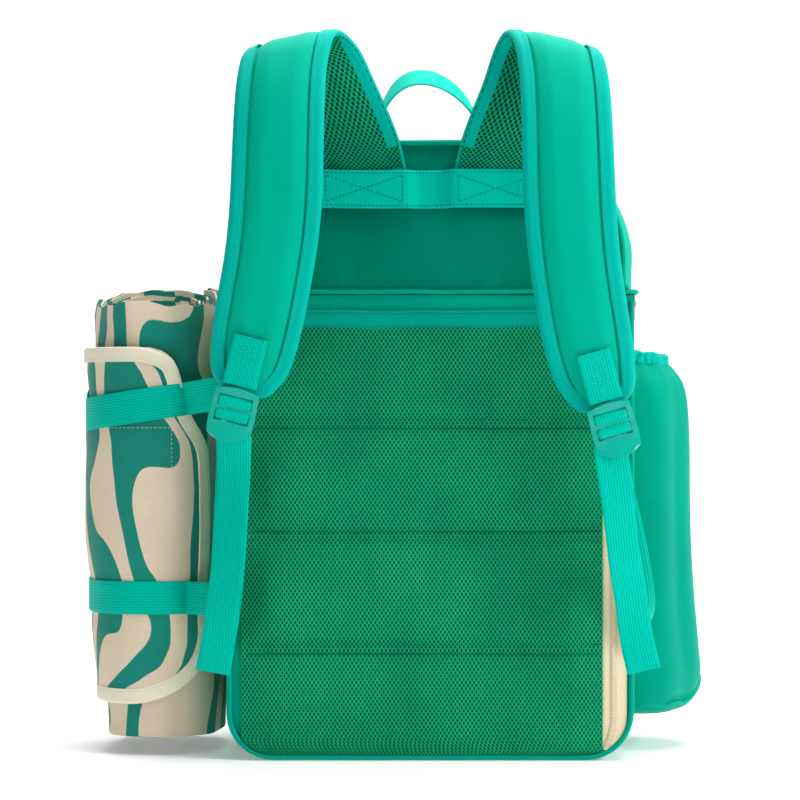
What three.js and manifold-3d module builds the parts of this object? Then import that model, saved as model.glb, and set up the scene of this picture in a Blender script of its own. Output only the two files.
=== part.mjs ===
// Insulated picnic backpack: a padded cooler box with a zipped, hinged dome lid, two shoulder straps with
// ladder-lock buckles, a rolled picnic blanket strapped to its left side and a bottle pouch on its right.
// Millimetres, +Z up. The origin is the middle of the base; -Y is the wearer's side and +X the pouch's side.
import * as THREE from "three";
import { mergeVertices } from "three/addons/utils/BufferGeometryUtils.js";
import Module from "manifold-3d";

const wasm = await Module();
wasm.setup();

// ---- driving dimensions -------------------------------------------------------------------------------
const GAP = 0.35; // between touching pieces
const HALF_WIDTH = 153;
const HALF_DEPTH = 92;
const FABRIC = 1.6; // outer cloth with its backing
const FOAM = 7;
const LINER = 1.2;
const BASE_CORNER = 36; // radius of the two lower corners
const RIM_Z = 335; // top edge of the lower box
const HINGE_Z = 349; // back seam that the lid turns about
const TOP_Z = 465;
const DOME_CORNER = 90; // radius of the lid's two upper corners
const PIPING_R = 2.1;
const WEBBING = 25;
const WEB_THICK = 1.8;
const STRAP_WIDTH = 66;
const TAPE = 1.6; // zip tape, laid over the cloth
const BINDING = 5; // how far a binding reaches in from an edge
const CHAIN_Z = 342; // the lid's zip line

const INNER = FABRIC + GAP + FOAM + GAP + LINER; // whole wall, outside to inside
const FACE = HALF_DEPTH; // outer face of the front and back panels

// ---- colours ------------------------------------------------------------------------------------------
const finish = (color, roughness, metalness = 0) =>
  new THREE.MeshStandardMaterial({ color, roughness, metalness });
const CLOTH = finish(0x00a884, 0.7);
const TRIM = finish(0x10c8ac, 0.65);
const WEB = finish(0x06b89e, 0.6);
const MESH_KNIT = finish(0x0c9a66, 0.85);
const CREAM = finish(0xe9dcb8, 0.7);
const LINING = finish(0xc9ccd0, 0.35);
const FOAM_WHITE = finish(0xf1f1ec, 0.9);
const PLASTIC = finish(0x14bfa3, 0.35);
const BLANKET = finish(0xcfc0ad, 0.95);
const BLANKET_TRIM = finish(0xeae5cb, 0.8);
const METAL = finish(0xb9a77c, 0.35, 0.9);

const bag = new THREE.Group();

function add(name, geometry, material, parent = bag) {
  const mesh = new THREE.Mesh(geometry, material);
  mesh.name = name;
  parent.add(mesh);
  return mesh;
}

// ---- solids -------------------------------------------------------------------------------------------
function solid(geometry) {
  const bare = geometry.index ? geometry.toNonIndexed() : geometry.clone();
  bare.deleteAttribute("normal");
  bare.deleteAttribute("uv");
  const merged = mergeVertices(bare, 1e-4);
  return new wasm.Manifold(
    new wasm.Mesh({
      numProp: 3,
      vertProperties: merged.attributes.position.array,
      triVerts: new Uint32Array(merged.index.array),
    }),
  );
}

function geometryOf(manifold) {
  const mesh = manifold.getMesh();
  const points = new Float32Array(mesh.numVert * 3);
  for (let i = 0; i < mesh.numVert; i++)
    for (let k = 0; k < 3; k++)
      points[3 * i + k] = mesh.vertProperties[i * mesh.numProp + k];
  const geometry = new THREE.BufferGeometry();
  geometry.setAttribute("position", new THREE.BufferAttribute(points, 3));
  geometry.setIndex(new THREE.BufferAttribute(mesh.triVerts.slice(), 1));
  return geometry;
}

const cut = (a, ...tools) =>
  geometryOf(tools.reduce((left, tool) => left.subtract(solid(tool)), solid(a)));

function box(x0, x1, y0, y1, z0, z1) {
  const geometry = new THREE.BoxGeometry(x1 - x0, y1 - y0, z1 - z0);
  return geometry.translate((x0 + x1) / 2, (y0 + y1) / 2, (z0 + z1) / 2);
}

// An outline drawn in X and Z, given depth along Y from y0 to y1.
function slabY(shape, y0, y1, curveSegments = 5) {
  const geometry = new THREE.ExtrudeGeometry(shape, {
    depth: y1 - y0,
    bevelEnabled: false,
    curveSegments,
  });
  return geometry.rotateX(Math.PI / 2).translate(0, y1, 0);
}

// An outline drawn in X and Y, given height from z0 to z1.
function slabZ(shape, z0, z1, curveSegments = 5) {
  const geometry = new THREE.ExtrudeGeometry(shape, {
    depth: z1 - z0,
    bevelEnabled: false,
    curveSegments,
  });
  return geometry.translate(0, 0, z0);
}

// Rings of equal point counts, joined in order and capped at both ends, or joined end to end when closed.
function loft(rings, closed = false) {
  const n = rings[0].length;
  const points = rings.flat().flatMap((p) => [p.x, p.y, p.z]);
  const faces = [];
  const last = closed ? rings.length : rings.length - 1;
  for (let i = 0; i < last; i++)
    for (let k = 0; k < n; k++) {
      const a = i * n + k;
      const b = i * n + ((k + 1) % n);
      const c = ((i + 1) % rings.length) * n + ((k + 1) % n);
      const d = ((i + 1) % rings.length) * n + k;
      faces.push(a, c, b, a, d, c);
    }
  if (!closed) {
    const end = (rings.length - 1) * n;
    for (let k = 1; k < n - 1; k++)
      faces.push(0, k, k + 1, end, end + k + 1, end + k);
  }
  const geometry = new THREE.BufferGeometry();
  geometry.setAttribute("position", new THREE.Float32BufferAttribute(points, 3));
  geometry.setIndex(faces);
  if (solid(geometry).volume() >= 0) return geometry;
  for (let i = 0; i < faces.length; i += 3)
    [faces[i + 1], faces[i + 2]] = [faces[i + 2], faces[i + 1]];
  geometry.setIndex(faces);
  return geometry;
}

// A tube of a regular section along 3-D points.
function tube(points, radius, sides = 8, closed = false) {
  const rings = points.map((p, i) => {
    const before = points[closed ? (i + points.length - 1) % points.length : Math.max(i - 1, 0)];
    const after = points[closed ? (i + 1) % points.length : Math.min(i + 1, points.length - 1)];
    const along = after.clone().sub(before).normalize();
    const up = Math.abs(along.y) < 0.7 ? new THREE.Vector3(0, 1, 0) : new THREE.Vector3(0, 0, 1);
    const u = new THREE.Vector3().crossVectors(along, up).normalize();
    const v = new THREE.Vector3().crossVectors(u, along);
    return [...Array(sides)].map((_, k) => {
      const angle = ((k + 0.5) / sides) * 2 * Math.PI;
      return p
        .clone()
        .addScaledVector(u, radius * Math.cos(angle))
        .addScaledVector(v, radius * Math.sin(angle));
    });
  });
  return loft(rings, closed);
}

// ---- the bag's outlines, seen from the wearer's side ----------------------------------------------------
// The lower box: open at its top, with two round lower corners.
function lowerOutline(inset, topZ, shape = new THREE.Shape()) {
  const w = HALF_WIDTH - inset;
  const r = BASE_CORNER - inset;
  shape.moveTo(w, topZ);
  shape.lineTo(-w, topZ);
  shape.lineTo(-w, BASE_CORNER);
  shape.absarc(-w + r, BASE_CORNER, r, Math.PI, 1.5 * Math.PI, false);
  shape.absarc(w - r, BASE_CORNER, r, 1.5 * Math.PI, 2 * Math.PI, false);
  return shape;
}

// The dome lid: flat along its top, with two wide round shoulders.
function lidOutline(inset, bottomZ, shape = new THREE.Shape()) {
  const w = HALF_WIDTH - inset;
  const r = DOME_CORNER - inset;
  const spring = TOP_Z - DOME_CORNER;
  shape.moveTo(-w, bottomZ);
  shape.lineTo(w, bottomZ);
  shape.lineTo(w, spring);
  shape.absarc(w - r, spring, r, 0, 0.5 * Math.PI, false);
  shape.absarc(-w + r, spring, r, 0.5 * Math.PI, Math.PI, false);
  return shape;
}

// Points of a shape's edge, lifted to 3-D at one depth.
const edgeAt = (shape, y, segments) =>
  shape.getPoints(segments).map((p) => new THREE.Vector3(p.x, y, p.y));

// ---- lower box ----------------------------------------------------------------------------------------
const OVER = 40; // how far a cutting tool runs past an open end

function strip(outline, z0, z1, outer, inner, y) {
  return cut(slabY(outline(outer, z1), -y, y), slabY(outline(inner, z0), -y - 1, y + 1));
}

function lowerTub(outer, thickness, y) {
  return cut(
    slabY(lowerOutline(outer, RIM_Z), -y, y),
    slabY(lowerOutline(outer + thickness, RIM_Z + OVER), -y + thickness, y - thickness),
  );
}

function lidTub(outer, thickness, y) {
  return cut(
    slabY(lidOutline(outer, HINGE_Z + GAP), -y, y),
    slabY(lidOutline(outer + thickness, HINGE_Z - OVER), -y + thickness, y - thickness),
  );
}

const gussetY = FACE - FABRIC - GAP;
add("lower_gusset", strip(lowerOutline, RIM_Z + OVER, RIM_Z, 0, FABRIC, gussetY), CLOTH);
add("lower_back_panel", slabY(lowerOutline(0, HINGE_Z - GAP), -FACE, -FACE + FABRIC), CLOTH);
add("lower_front_panel", slabY(lowerOutline(0, RIM_Z), FACE - FABRIC, FACE), CLOTH);
add("lower_foam", lowerTub(FABRIC + GAP, FOAM, gussetY), FOAM_WHITE);
add("lower_liner", lowerTub(FABRIC + FOAM + 2 * GAP, LINER, gussetY - FOAM - GAP), LINING);
add("base_board", box(-104, 104, -76, 76, INNER + GAP, INNER + GAP + 2.4), PLASTIC);

// ---- lid ----------------------------------------------------------------------------------------------
add("lid_gusset", strip(lidOutline, HINGE_Z - OVER, HINGE_Z + GAP, 0, FABRIC, gussetY), CLOTH);
add("lid_back_panel", slabY(lidOutline(0, HINGE_Z + GAP), -FACE, -FACE + FABRIC), CLOTH);
add("lid_front_panel", slabY(lidOutline(0, HINGE_Z + GAP), FACE - FABRIC, FACE), CLOTH);
add("lid_foam", lidTub(FABRIC + GAP, FOAM, gussetY), FOAM_WHITE);
add("lid_liner", lidTub(FABRIC + FOAM + 2 * GAP, LINER, gussetY - FOAM - GAP), LINING);

// ---- piping along the edges ---------------------------------------------------------------------------
const pipingY = FACE + PIPING_R + GAP;
const RIM_PIPING_R = 1.8;
const rimPipingZ = HINGE_Z + GAP + RIM_PIPING_R;

// The open edge of an outline, from one side's top over the bottom to the other side's top.
function openEdge(shape, y) {
  const points = edgeAt(shape, y, 4);
  return points.slice(1);
}

const bandFoot = RIM_Z - 5; // lower edge of the lid's zip tape
for (const [side, y, top] of [
  ["back", -pipingY, HINGE_Z - 5.2],
  ["front", pipingY, bandFoot - GAP],
]) {
  const lower = openEdge(lowerOutline(PIPING_R, top), y);
  lower.push(new THREE.Vector3(HALF_WIDTH - PIPING_R, y, top));
  add(`lower_${side}_piping`, tube(lower, PIPING_R, 6), TRIM);
  const arch = openEdge(lidOutline(PIPING_R, rimPipingZ + RIM_PIPING_R + GAP), y);
  arch.push(new THREE.Vector3(-HALF_WIDTH + PIPING_R, y, rimPipingZ + RIM_PIPING_R + GAP));
  add(`lid_${side}_piping`, tube(arch, PIPING_R, 6), TRIM);
}

// A closed ring round the bag at one height.
function ringRound(halfX, halfY, corner, z) {
  const shape = new THREE.Shape();
  shape.absarc(halfX - corner, halfY - corner, corner, 0, 0.5 * Math.PI, false);
  shape.absarc(-halfX + corner, halfY - corner, corner, 0.5 * Math.PI, Math.PI, false);
  shape.absarc(-halfX + corner, -halfY + corner, corner, Math.PI, 1.5 * Math.PI, false);
  shape.absarc(halfX - corner, -halfY + corner, corner, 1.5 * Math.PI, 2 * Math.PI, false);
  return shape.getPoints(2).map((p) => new THREE.Vector3(p.x, p.y, z));
}
const rimOut = RIM_PIPING_R + GAP;
add(
  "lid_rim_piping",
  tube(ringRound(HALF_WIDTH + rimOut, FACE + rimOut, 2, rimPipingZ), RIM_PIPING_R, 6, true),
  TRIM,
);

// ---- the lid's zip, along both sides and the front ------------------------------------------------------
function zipBand(z0, z1) {
  const outer = box(
    -HALF_WIDTH - GAP - TAPE, HALF_WIDTH + GAP + TAPE, -FACE + 6, FACE + GAP + TAPE, z0, z1,
  );
  const inner = box(-HALF_WIDTH - GAP, HALF_WIDTH + GAP, -FACE - OVER, FACE + GAP, z0 - 1, z1 + 1);
  return cut(outer, inner);
}
add("lid_zip_lower_tape", zipBand(bandFoot, CHAIN_Z - 0.3), CREAM);
add("lid_zip_upper_tape", zipBand(CHAIN_Z + 0.3, rimPipingZ - RIM_PIPING_R - GAP), CREAM);

// A zip slider with its pull tab hanging below. along: "X" or "Z", the way the slider runs.
const SLIDER = { long: 13, wide: 8.5, thick: 4.2 };
const PULL = { wide: 7, thick: 1.6, long: 27 };

function slider(name, x, y, z, along, out) {
  const dx = along === "X" ? SLIDER.long / 2 : SLIDER.wide / 2;
  const dz = along === "X" ? SLIDER.wide / 2 : SLIDER.long / 2;
  const near = y + out * GAP;
  const far = near + out * SLIDER.thick;
  const [y0, y1] = [Math.min(near, far), Math.max(near, far)];
  add(`${name}_slider`, box(x - dx, x + dx, y0, y1, z - dz, z + dz), METAL);
  const tabNear = far + out * GAP;
  const tabFar = tabNear + out * PULL.thick;
  const [t0, t1] = [Math.min(tabNear, tabFar), Math.max(tabNear, tabFar)];
  const shape = new THREE.Shape();
  const r = PULL.wide / 2;
  shape.moveTo(x + r, z + 1);
  shape.lineTo(x - r, z + 1);
  shape.absarc(x, z - PULL.long + r, r, Math.PI, 2 * Math.PI, false);
  add(`${name}_pull`, slabY(shape, t0, t1, 4), TRIM);
}
const lidTapeFace = FACE + GAP + TAPE;
slider("lid_zip_left", -11, lidTapeFace, CHAIN_Z, "X", 1);
slider("lid_zip_right", 11, lidTapeFace, CHAIN_Z, "X", 1);

// ---- padded mesh back and its side zip ----------------------------------------------------------------
const PAD_LEFT = -142;
const PAD_RIGHT = 129;
const PAD_TOP = 325.5;
const PAD_THICK = 8;
const padBack = -FACE - GAP;
const insideOfPiping = 2 * PIPING_R + GAP;
const withinPiping = solid(slabY(lowerOutline(insideOfPiping, PAD_TOP), -FACE - OVER, 0));
const clipped = (geometry) => geometryOf(solid(geometry).intersect(withinPiping));
add(
  "back_mesh_pad",
  clipped(box(PAD_LEFT, PAD_RIGHT, padBack - PAD_THICK, padBack, 0, PAD_TOP)),
  MESH_KNIT,
);
add(
  "mesh_top_binding",
  box(PAD_LEFT, PAD_RIGHT, padBack - PAD_THICK / 2, padBack, PAD_TOP + GAP, 337.3),
  TRIM,
);
const sideZipX = 138.5;
const sideZipHalf = 9;
add(
  "side_zip_tape",
  clipped(box(sideZipX - sideZipHalf, sideZipX + sideZipHalf, padBack - TAPE, padBack, 0, PAD_TOP)),
  CREAM,
);
slider("side_zip", sideZipX, padBack - TAPE, 308, "Z", -1);

// ---- front: a slip pocket, and a flat zipped pocket's zip above it --------------------------------------
const POCKET = { half: 106, foot: 44, top: 256, deep: 22, wall: 1.6, corner: 24 };
function pocketOutline(inset, top) {
  const shape = new THREE.Shape();
  const w = POCKET.half - inset;
  const r = POCKET.corner - inset;
  shape.moveTo(w, top);
  shape.lineTo(-w, top);
  shape.absarc(-w + r, POCKET.foot + POCKET.corner, r, Math.PI, 1.5 * Math.PI, false);
  shape.absarc(w - r, POCKET.foot + POCKET.corner, r, 1.5 * Math.PI, 2 * Math.PI, false);
  return shape;
}
const pocketBack = FACE + GAP;
const pocketFront = pocketBack + POCKET.deep;
function pocketCup(top, cutTop) {
  return cut(
    slabY(pocketOutline(0, top), pocketBack, pocketFront, 4),
    slabY(pocketOutline(POCKET.wall, cutTop), pocketBack - OVER, pocketFront - POCKET.wall, 4),
  );
}
add("front_slip_pocket", pocketCup(POCKET.top, POCKET.top + OVER), CLOTH);
add(
  "slip_pocket_binding",
  cut(
    box(-POCKET.half, POCKET.half, pocketBack, pocketFront, POCKET.top + GAP, POCKET.top + 7),
    box(
      -POCKET.half + POCKET.wall, POCKET.half - POCKET.wall,
      pocketBack - OVER, pocketFront - POCKET.wall, POCKET.top, POCKET.top + 8,
    ),
  ),
  TRIM,
);
const frontZipZ = 293;
add("front_zip_tape", box(-104, 104, pocketBack, pocketBack + TAPE, frontZipZ - 9, frontZipZ + 9), CREAM);
slider("front_zip", -92, pocketBack + TAPE, frontZipZ, "X", 1);

// ---- shoulder straps ----------------------------------------------------------------------------------
// Each station of the right strap: its inner edge, then its outer edge. It starts above the anchor band with
// its mesh side towards the wearer, rises, turns over at the shoulder and comes down with its face outwards.
const STRAP_INNER = [
  [18.5, -103, 446], [23, -104, 464], [31, -107, 483], [40.5, -112, 505], [49, -120, 526],
  [55.5, -129, 536], [61.5, -140, 539], [66.5, -151, 531], [70, -160, 512], [71.5, -167, 487],
  [72.2, -170, 455], [73, -169, 422], [75, -165, 395], [79, -158, 365], [86.4, -147.5, 326],
  [93.3, -141, 299], [101, -137, 281], [113, -134.5, 268],
];
const STRAP_OUTER = [
  [84.5, -103, 446], [87, -103.5, 455], [93.5, -106, 466], [102, -111, 484], [111, -118, 503],
  [119.5, -128, 517], [126.5, -139, 524], [130.5, -150, 520], [133.2, -159, 507], [135, -166, 487],
  [136.5, -170, 455], [138, -169, 422], [140, -165, 395], [144, -158, 365], [151.5, -147, 325],
  [154.5, -141, 300], [153.5, -137, 283], [143, -134.5, 270],
];
const smooth = (points, steps) =>
  new THREE.CatmullRomCurve3(points.map((p) => new THREE.Vector3(...p))).getPoints(steps);
const STRAP_STEPS = 2 * (STRAP_INNER.length - 1);
const LEAN = 6.2; // how far both straps lean to the bag's left
const HANG = 5.5; // how much higher the left strap's end hangs, and how much lower the right one's

// The stations of one strap as it hangs, before the left one is mirrored.
function strapStations(sign) {
  const { smoothstep } = THREE.MathUtils;
  const hang = (p) =>
    new THREE.Vector3(
      p.x - sign * LEAN * smoothstep(-p.y, 100, 145),
      p.y,
      p.z - sign * HANG * (1 - smoothstep(p.z, 330, 430)),
    );
  const outer = smooth(STRAP_OUTER, STRAP_STEPS).map(hang);
  return smooth(STRAP_INNER, STRAP_STEPS).map((p, i) => ({ inner: hang(p), outer: outer[i] }));
}

// Directions at a station: across from inner to outer, along the strap, and out of its face.
function strapFrame(strap, i) {
  const middle = (s) => s.inner.clone().add(s.outer).multiplyScalar(0.5);
  const before = middle(strap[Math.max(i - 1, 0)]);
  const after = middle(strap[Math.min(i + 1, strap.length - 1)]);
  const across = strap[i].outer.clone().sub(strap[i].inner).normalize();
  const along = after.sub(before).normalize();
  const face = new THREE.Vector3().crossVectors(along, across).normalize();
  return { across, along, face };
}

const PAD_FACE = 5.2; // the foam's face above the strap's middle surface
const PAD_REAR = -2.6;
const MESH_REAR = -4.8;

// A layer of the strap between two heights above its middle surface, short of the edges by the binding. Each
// layer starts from the surface it shares with its neighbour, so that both are faceted alike.
function strapLayer(strap, near, far) {
  const rings = strap.map((s, i) => {
    const { across, along, face } = strapFrame(strap, i);
    const short = BINDING + 2 * GAP;
    const a = s.inner.clone().addScaledVector(across, short);
    const b = s.outer.clone().addScaledVector(across, -short);
    if (i > strap.length - 3)
      for (const p of [a, b]) p.addScaledVector(along, -short - 1);
    return [
      a.clone().addScaledVector(face, near),
      b.clone().addScaledVector(face, near),
      b.clone().addScaledVector(face, far),
      a.clone().addScaledVector(face, far),
    ];
  });
  return loft(rings);
}

// The folded tape round the strap's edge, down one side, round the tip and up the other.
function strapBinding(strap) {
  const section = (edge, inward, face) => [
    edge.clone().addScaledVector(face, PAD_FACE - 1),
    edge.clone().addScaledVector(inward, BINDING).addScaledVector(face, PAD_FACE - 1),
    edge.clone().addScaledVector(inward, BINDING).addScaledVector(face, MESH_REAR),
    edge.clone().addScaledVector(face, MESH_REAR),
  ];
  const last = strap.length - 1;
  const down = [];
  const up = [];
  for (let i = 0; i < last; i++) {
    const { across, face } = strapFrame(strap, i);
    down.push(section(strap[i].inner, across, face));
    up.unshift(section(strap[i].outer, across.clone().negate(), face));
  }
  const { across, along, face } = strapFrame(strap, last);
  const tip = strap[last];
  const lean = (sign) => across.clone().multiplyScalar(sign).addScaledVector(along, -1.4).normalize();
  return loft([
    ...down,
    section(tip.inner, lean(1), face),
    section(tip.outer, lean(-1), face),
    ...up,
  ]);
}

// A flat band of webbing through points, each with its own width and the side it faces.
function webbing(points, widths, thick, outs) {
  const rings = points.map((p, i) => {
    const along = points[Math.min(i + 1, points.length - 1)]
      .clone()
      .sub(points[Math.max(i - 1, 0)])
      .normalize();
    const across = new THREE.Vector3().crossVectors(along, outs[i]).normalize();
    const out = new THREE.Vector3().crossVectors(across, along).normalize();
    const corner = (side, high) =>
      p
        .clone()
        .addScaledVector(across, (side * widths[i]) / 2)
        .addScaledVector(out, (high * thick) / 2);
    return [corner(-1, 1), corner(1, 1), corner(1, -1), corner(-1, -1)];
  });
  return loft(rings);
}
const V = (x, y, z) => new THREE.Vector3(x, y, z);
const TOWARDS_WEARER = V(0, -1, 0);

// The ladder lock: a curved-in frame with two slots either side of its middle bar.
const LOCK = { width: 33, height: 42, thick: 5.5 };
function ladderLock() {
  const outline = new THREE.Shape();
  const w = LOCK.width / 2;
  outline.moveTo(-w + 3, 0);
  outline.lineTo(w - 3, 0);
  outline.lineTo(w, -5);
  outline.lineTo(w + 0.6, -30);
  outline.lineTo(w - 5, -LOCK.height);
  outline.lineTo(-w + 5, -LOCK.height);
  outline.lineTo(-w - 0.6, -30);
  outline.lineTo(-w, -5);
  const slots = [-7, -18].map((z) =>
    box(-WEBBING / 2 - 0.6, WEBBING / 2 + 0.6, -LOCK.thick - 1, 1, z - 8.5, z),
  );
  return cut(slabY(outline, -LOCK.thick, 0), ...slots);
}

// One strap with its end, built for the right side and mirrored for the left: the top middle of its sewn tab,
// which way its end points, and the routes of its loose tail and of its lower webbing.
function strapSide(side, sign, { top, down, tail, low }) {
  const half = new THREE.Group();
  half.scale.x = sign;
  bag.add(half);
  const strap = strapStations(sign);
  add(`${side}_strap_pad`, strapLayer(strap, PAD_REAR + GAP, PAD_FACE), CLOTH, half);
  add(`${side}_strap_mesh`, strapLayer(strap, PAD_REAR, MESH_REAR), MESH_KNIT, half);
  add(`${side}_strap_binding`, strapBinding(strap), TRIM, half);

  const towards = V(...down).normalize();
  const across = new THREE.Vector3().crossVectors(towards, TOWARDS_WEARER).normalize();
  const out = new THREE.Vector3().crossVectors(across, towards).normalize();
  const end = new THREE.Group();
  const basis = new THREE.Matrix4().makeBasis(
    across.clone().negate(),
    out.clone().negate(),
    towards.clone().negate(),
  );
  end.applyMatrix4(basis.setPosition(...top));
  half.add(end);
  add(`${side}_strap_tab`, box(-WEBBING / 2, WEBBING / 2, -3, -3 + WEB_THICK, -37, 0), WEB, end);
  add(`${side}_ladder_lock`, ladderLock().translate(0, -1, -39), PLASTIC, end);

  const hanging = (name, points) =>
    add(
      `${side}_${name}`,
      webbing(
        points.map((p) => V(...p)),
        points.map(() => WEBBING),
        WEB_THICK,
        points.map(() => TOWARDS_WEARER),
      ),
      WEB,
      half,
    );
  hanging("strap_tail", tail);
  hanging("lower_webbing", low);
}
strapSide("left", -1, {
  top: [131, -149.2, 316],
  down: [13.4, 9.5, -53.5],
  tail: [
    [144.5, -139, 233], [144.5, -138.5, 212], [146.9, -137.5, 182], [148.7, -136.5, 153],
    [152.4, -135, 123], [160.4, -132, 70],
  ],
  low: [
    [144, -133.5, 240], [146, -131, 205], [148.5, -125, 165], [151, -115, 128], [155.5, -105, 100],
    [155.5, -99, 84],
  ],
});
strapSide("right", 1, {
  top: [117.5, -149.2, 305],
  down: [15.5, 9.5, -53.5],
  tail: [
    [132.8, -139, 223], [136.5, -138.5, 197], [138.5, -137.5, 182], [141.9, -136.5, 153],
    [146.8, -135, 123.5], [156.6, -132, 71],
  ],
  low: [
    [132.5, -133.5, 230], [136.5, -131, 205], [144, -125, 175], [150.5, -115.5, 146], [155, -105, 118],
    [155.5, -99, 92],
  ],
});

add("strap_anchor_band", box(-98, 98, -101, -92.4, 413.4, 442.2), WEB);

// ---- carry handle: webbing folded narrow at both feet, above its two stitched patches -------------------
const HANDLE = { half: 41, rise: 52, lift: 8, footWidth: 12, lean: 0.26 };
const handleAngles = [...Array(11)].map((_, i) => Math.PI * (1 - i / 10));
const handlePath = handleAngles.map((angle) =>
  V(HANDLE.half * Math.cos(angle), 0, TOP_Z + HANDLE.lift + HANDLE.rise * Math.sin(angle)),
);
const handleWidths = handleAngles.map(
  (angle) => HANDLE.footWidth + (WEBBING - HANDLE.footWidth) * Math.min(1, 1.5 * Math.sin(angle)),
);
const handleOuts = handlePath.map((p) => V(p.x, 0, p.z - TOP_Z));
const handleFoot = TOP_Z + HANDLE.lift;
add(
  "carry_handle",
  webbing(handlePath, handleWidths, 2.4, handleOuts)
    .translate(0, 0, -handleFoot)
    .rotateX(HANDLE.lean)
    .translate(0, 0, handleFoot),
  WEB,
);
for (const [side, x] of [
  ["left", -HANDLE.half],
  ["right", HANDLE.half],
])
  add(`handle_patch_${side}`, box(x - 9, x + 9, -14, 14, TOP_Z + GAP, TOP_Z + GAP + 1.4), WEB);

// ---- rolled blanket, its flap and its two bands ---------------------------------------------------------
const ROLL = { x: -211.8, y: -4, halfX: 53.6, halfY: 68, foot: 12, top: 350 };
function oval(extra, segments) {
  return [...Array(segments)].map((_, i) => {
    const angle = (2 * Math.PI * i) / segments;
    const square = 0.8; // a little squarer than an ellipse
    const c = Math.sign(Math.cos(angle)) * Math.abs(Math.cos(angle)) ** square;
    const s = Math.sign(Math.sin(angle)) * Math.abs(Math.sin(angle)) ** square;
    return new THREE.Vector2(ROLL.x + (ROLL.halfX + extra) * c, ROLL.y + (ROLL.halfY + extra) * s);
  });
}
const ovalSlab = (extra, z0, z1) => slabZ(new THREE.Shape(oval(extra, 24)), z0, z1);
const ovalRing = (inner, outer, z0, z1) =>
  cut(ovalSlab(outer, z0, z1), ovalSlab(inner, z0 - 1, z1 + 1));
const FLAP = { foot: 40, top: 310, thick: 1.4, edge: -169 };
add("blanket_roll", ovalSlab(0, ROLL.foot, ROLL.top), BLANKET);
const flapRing = solid(ovalRing(0.6, 0.6 + FLAP.thick, FLAP.foot, FLAP.top));
const openSide = (x) => solid(box(x, 0, -200, 200, 0, 400));
const farSide = solid(box(-400, 0, ROLL.y, 200, 0, 400));
add("blanket_flap", geometryOf(flapRing.subtract(openSide(FLAP.edge - 9)).subtract(farSide)), BLANKET);
add(
  "blanket_flap_binding",
  geometryOf(
    flapRing.intersect(openSide(FLAP.edge - 9 + GAP)).subtract(openSide(FLAP.edge)).subtract(farSide),
  ),
  BLANKET_TRIM,
);
const bandIn = 2.6;
for (const [name, z] of [
  ["upper", 267],
  ["lower", 120],
])
  add(`blanket_${name}_band`, ovalRing(bandIn, bandIn + WEB_THICK, z - WEBBING / 2, z + WEBBING / 2), WEB);

// ---- bottle pouch on the right side -------------------------------------------------------------------
const POUCH = { x: HALF_WIDTH + 0.5, half: 56, wall: 1.6, foot: 28, top: 299.5, mouth: [31, 41] };
// The pouch's plan: flat against the bag, round outside.
function pouchRing(reach, half, z, inset) {
  const back = POUCH.x + inset;
  const points = [];
  for (let i = 0; i <= 10; i++) {
    const angle = -Math.PI / 2 + (Math.PI * i) / 10;
    points.push(
      V(back + (reach - 2 * inset) * Math.cos(angle) ** 0.7, (half - inset) * Math.sin(angle), z),
    );
  }
  return points;
}
const pouchLevels = [
  [46, 45, POUCH.foot],
  [59, POUCH.half, POUCH.foot + 28],
  [52, POUCH.half - 2, 200],
  [47, POUCH.half - 4, 281],
  [...POUCH.mouth, POUCH.top],
];
const outerSkin = pouchLevels.map(([reach, half, z]) => pouchRing(reach, half, z, 0));
const innerSkin = pouchLevels
  .map(([reach, half, z], i) => pouchRing(reach, half, z + (i === 0 ? POUCH.wall : 0), POUCH.wall))
  .reverse();
add("bottle_pouch", loft([...outerSkin, ...innerSkin]), CLOTH);
add(
  "pouch_elastic_binding",
  loft([
    pouchRing(...POUCH.mouth, POUCH.top + GAP, 0),
    pouchRing(...POUCH.mouth, POUCH.top + 8, 0),
    pouchRing(...POUCH.mouth, POUCH.top + 8, 2),
    pouchRing(...POUCH.mouth, POUCH.top + GAP, 2),
  ], true),
  TRIM,
);

export default bag;
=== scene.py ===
"""The looks of an insulated picnic backpack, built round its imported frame.

Each sub-assembly is a class that holds its sizes and makes its own pieces. Each finish is a frozen
dataclass. Lengths are metres, +Z is up, -Y is the wearer's side and +X the bottle pouch's side.
"""

import logging
import math
from dataclasses import dataclass, field
from enum import Enum
from functools import lru_cache, partial
from typing import Callable, Sequence

import bpy
import numpy as np
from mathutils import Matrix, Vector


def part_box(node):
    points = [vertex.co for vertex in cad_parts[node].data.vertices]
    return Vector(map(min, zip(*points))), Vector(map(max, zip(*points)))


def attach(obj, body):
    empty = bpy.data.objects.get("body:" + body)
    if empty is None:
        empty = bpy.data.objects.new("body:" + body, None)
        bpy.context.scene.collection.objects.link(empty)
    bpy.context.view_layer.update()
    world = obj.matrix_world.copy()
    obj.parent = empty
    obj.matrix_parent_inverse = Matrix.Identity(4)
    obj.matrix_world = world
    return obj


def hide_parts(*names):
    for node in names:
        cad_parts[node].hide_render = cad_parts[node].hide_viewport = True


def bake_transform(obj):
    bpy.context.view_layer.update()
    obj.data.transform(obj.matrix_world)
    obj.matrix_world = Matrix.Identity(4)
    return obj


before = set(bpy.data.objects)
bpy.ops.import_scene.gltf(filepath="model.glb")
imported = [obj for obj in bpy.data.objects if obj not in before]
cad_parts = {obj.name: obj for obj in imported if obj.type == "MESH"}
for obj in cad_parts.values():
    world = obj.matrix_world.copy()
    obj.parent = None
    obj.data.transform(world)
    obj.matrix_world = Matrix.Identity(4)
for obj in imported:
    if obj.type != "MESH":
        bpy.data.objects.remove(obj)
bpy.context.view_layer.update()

MM = 0.001
WEBBING = 25 * MM
COIL_HALF = 0.9 * MM
MERGE = 1e-6
WEARER = (0.0, -1.0, 0.0)
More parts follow.
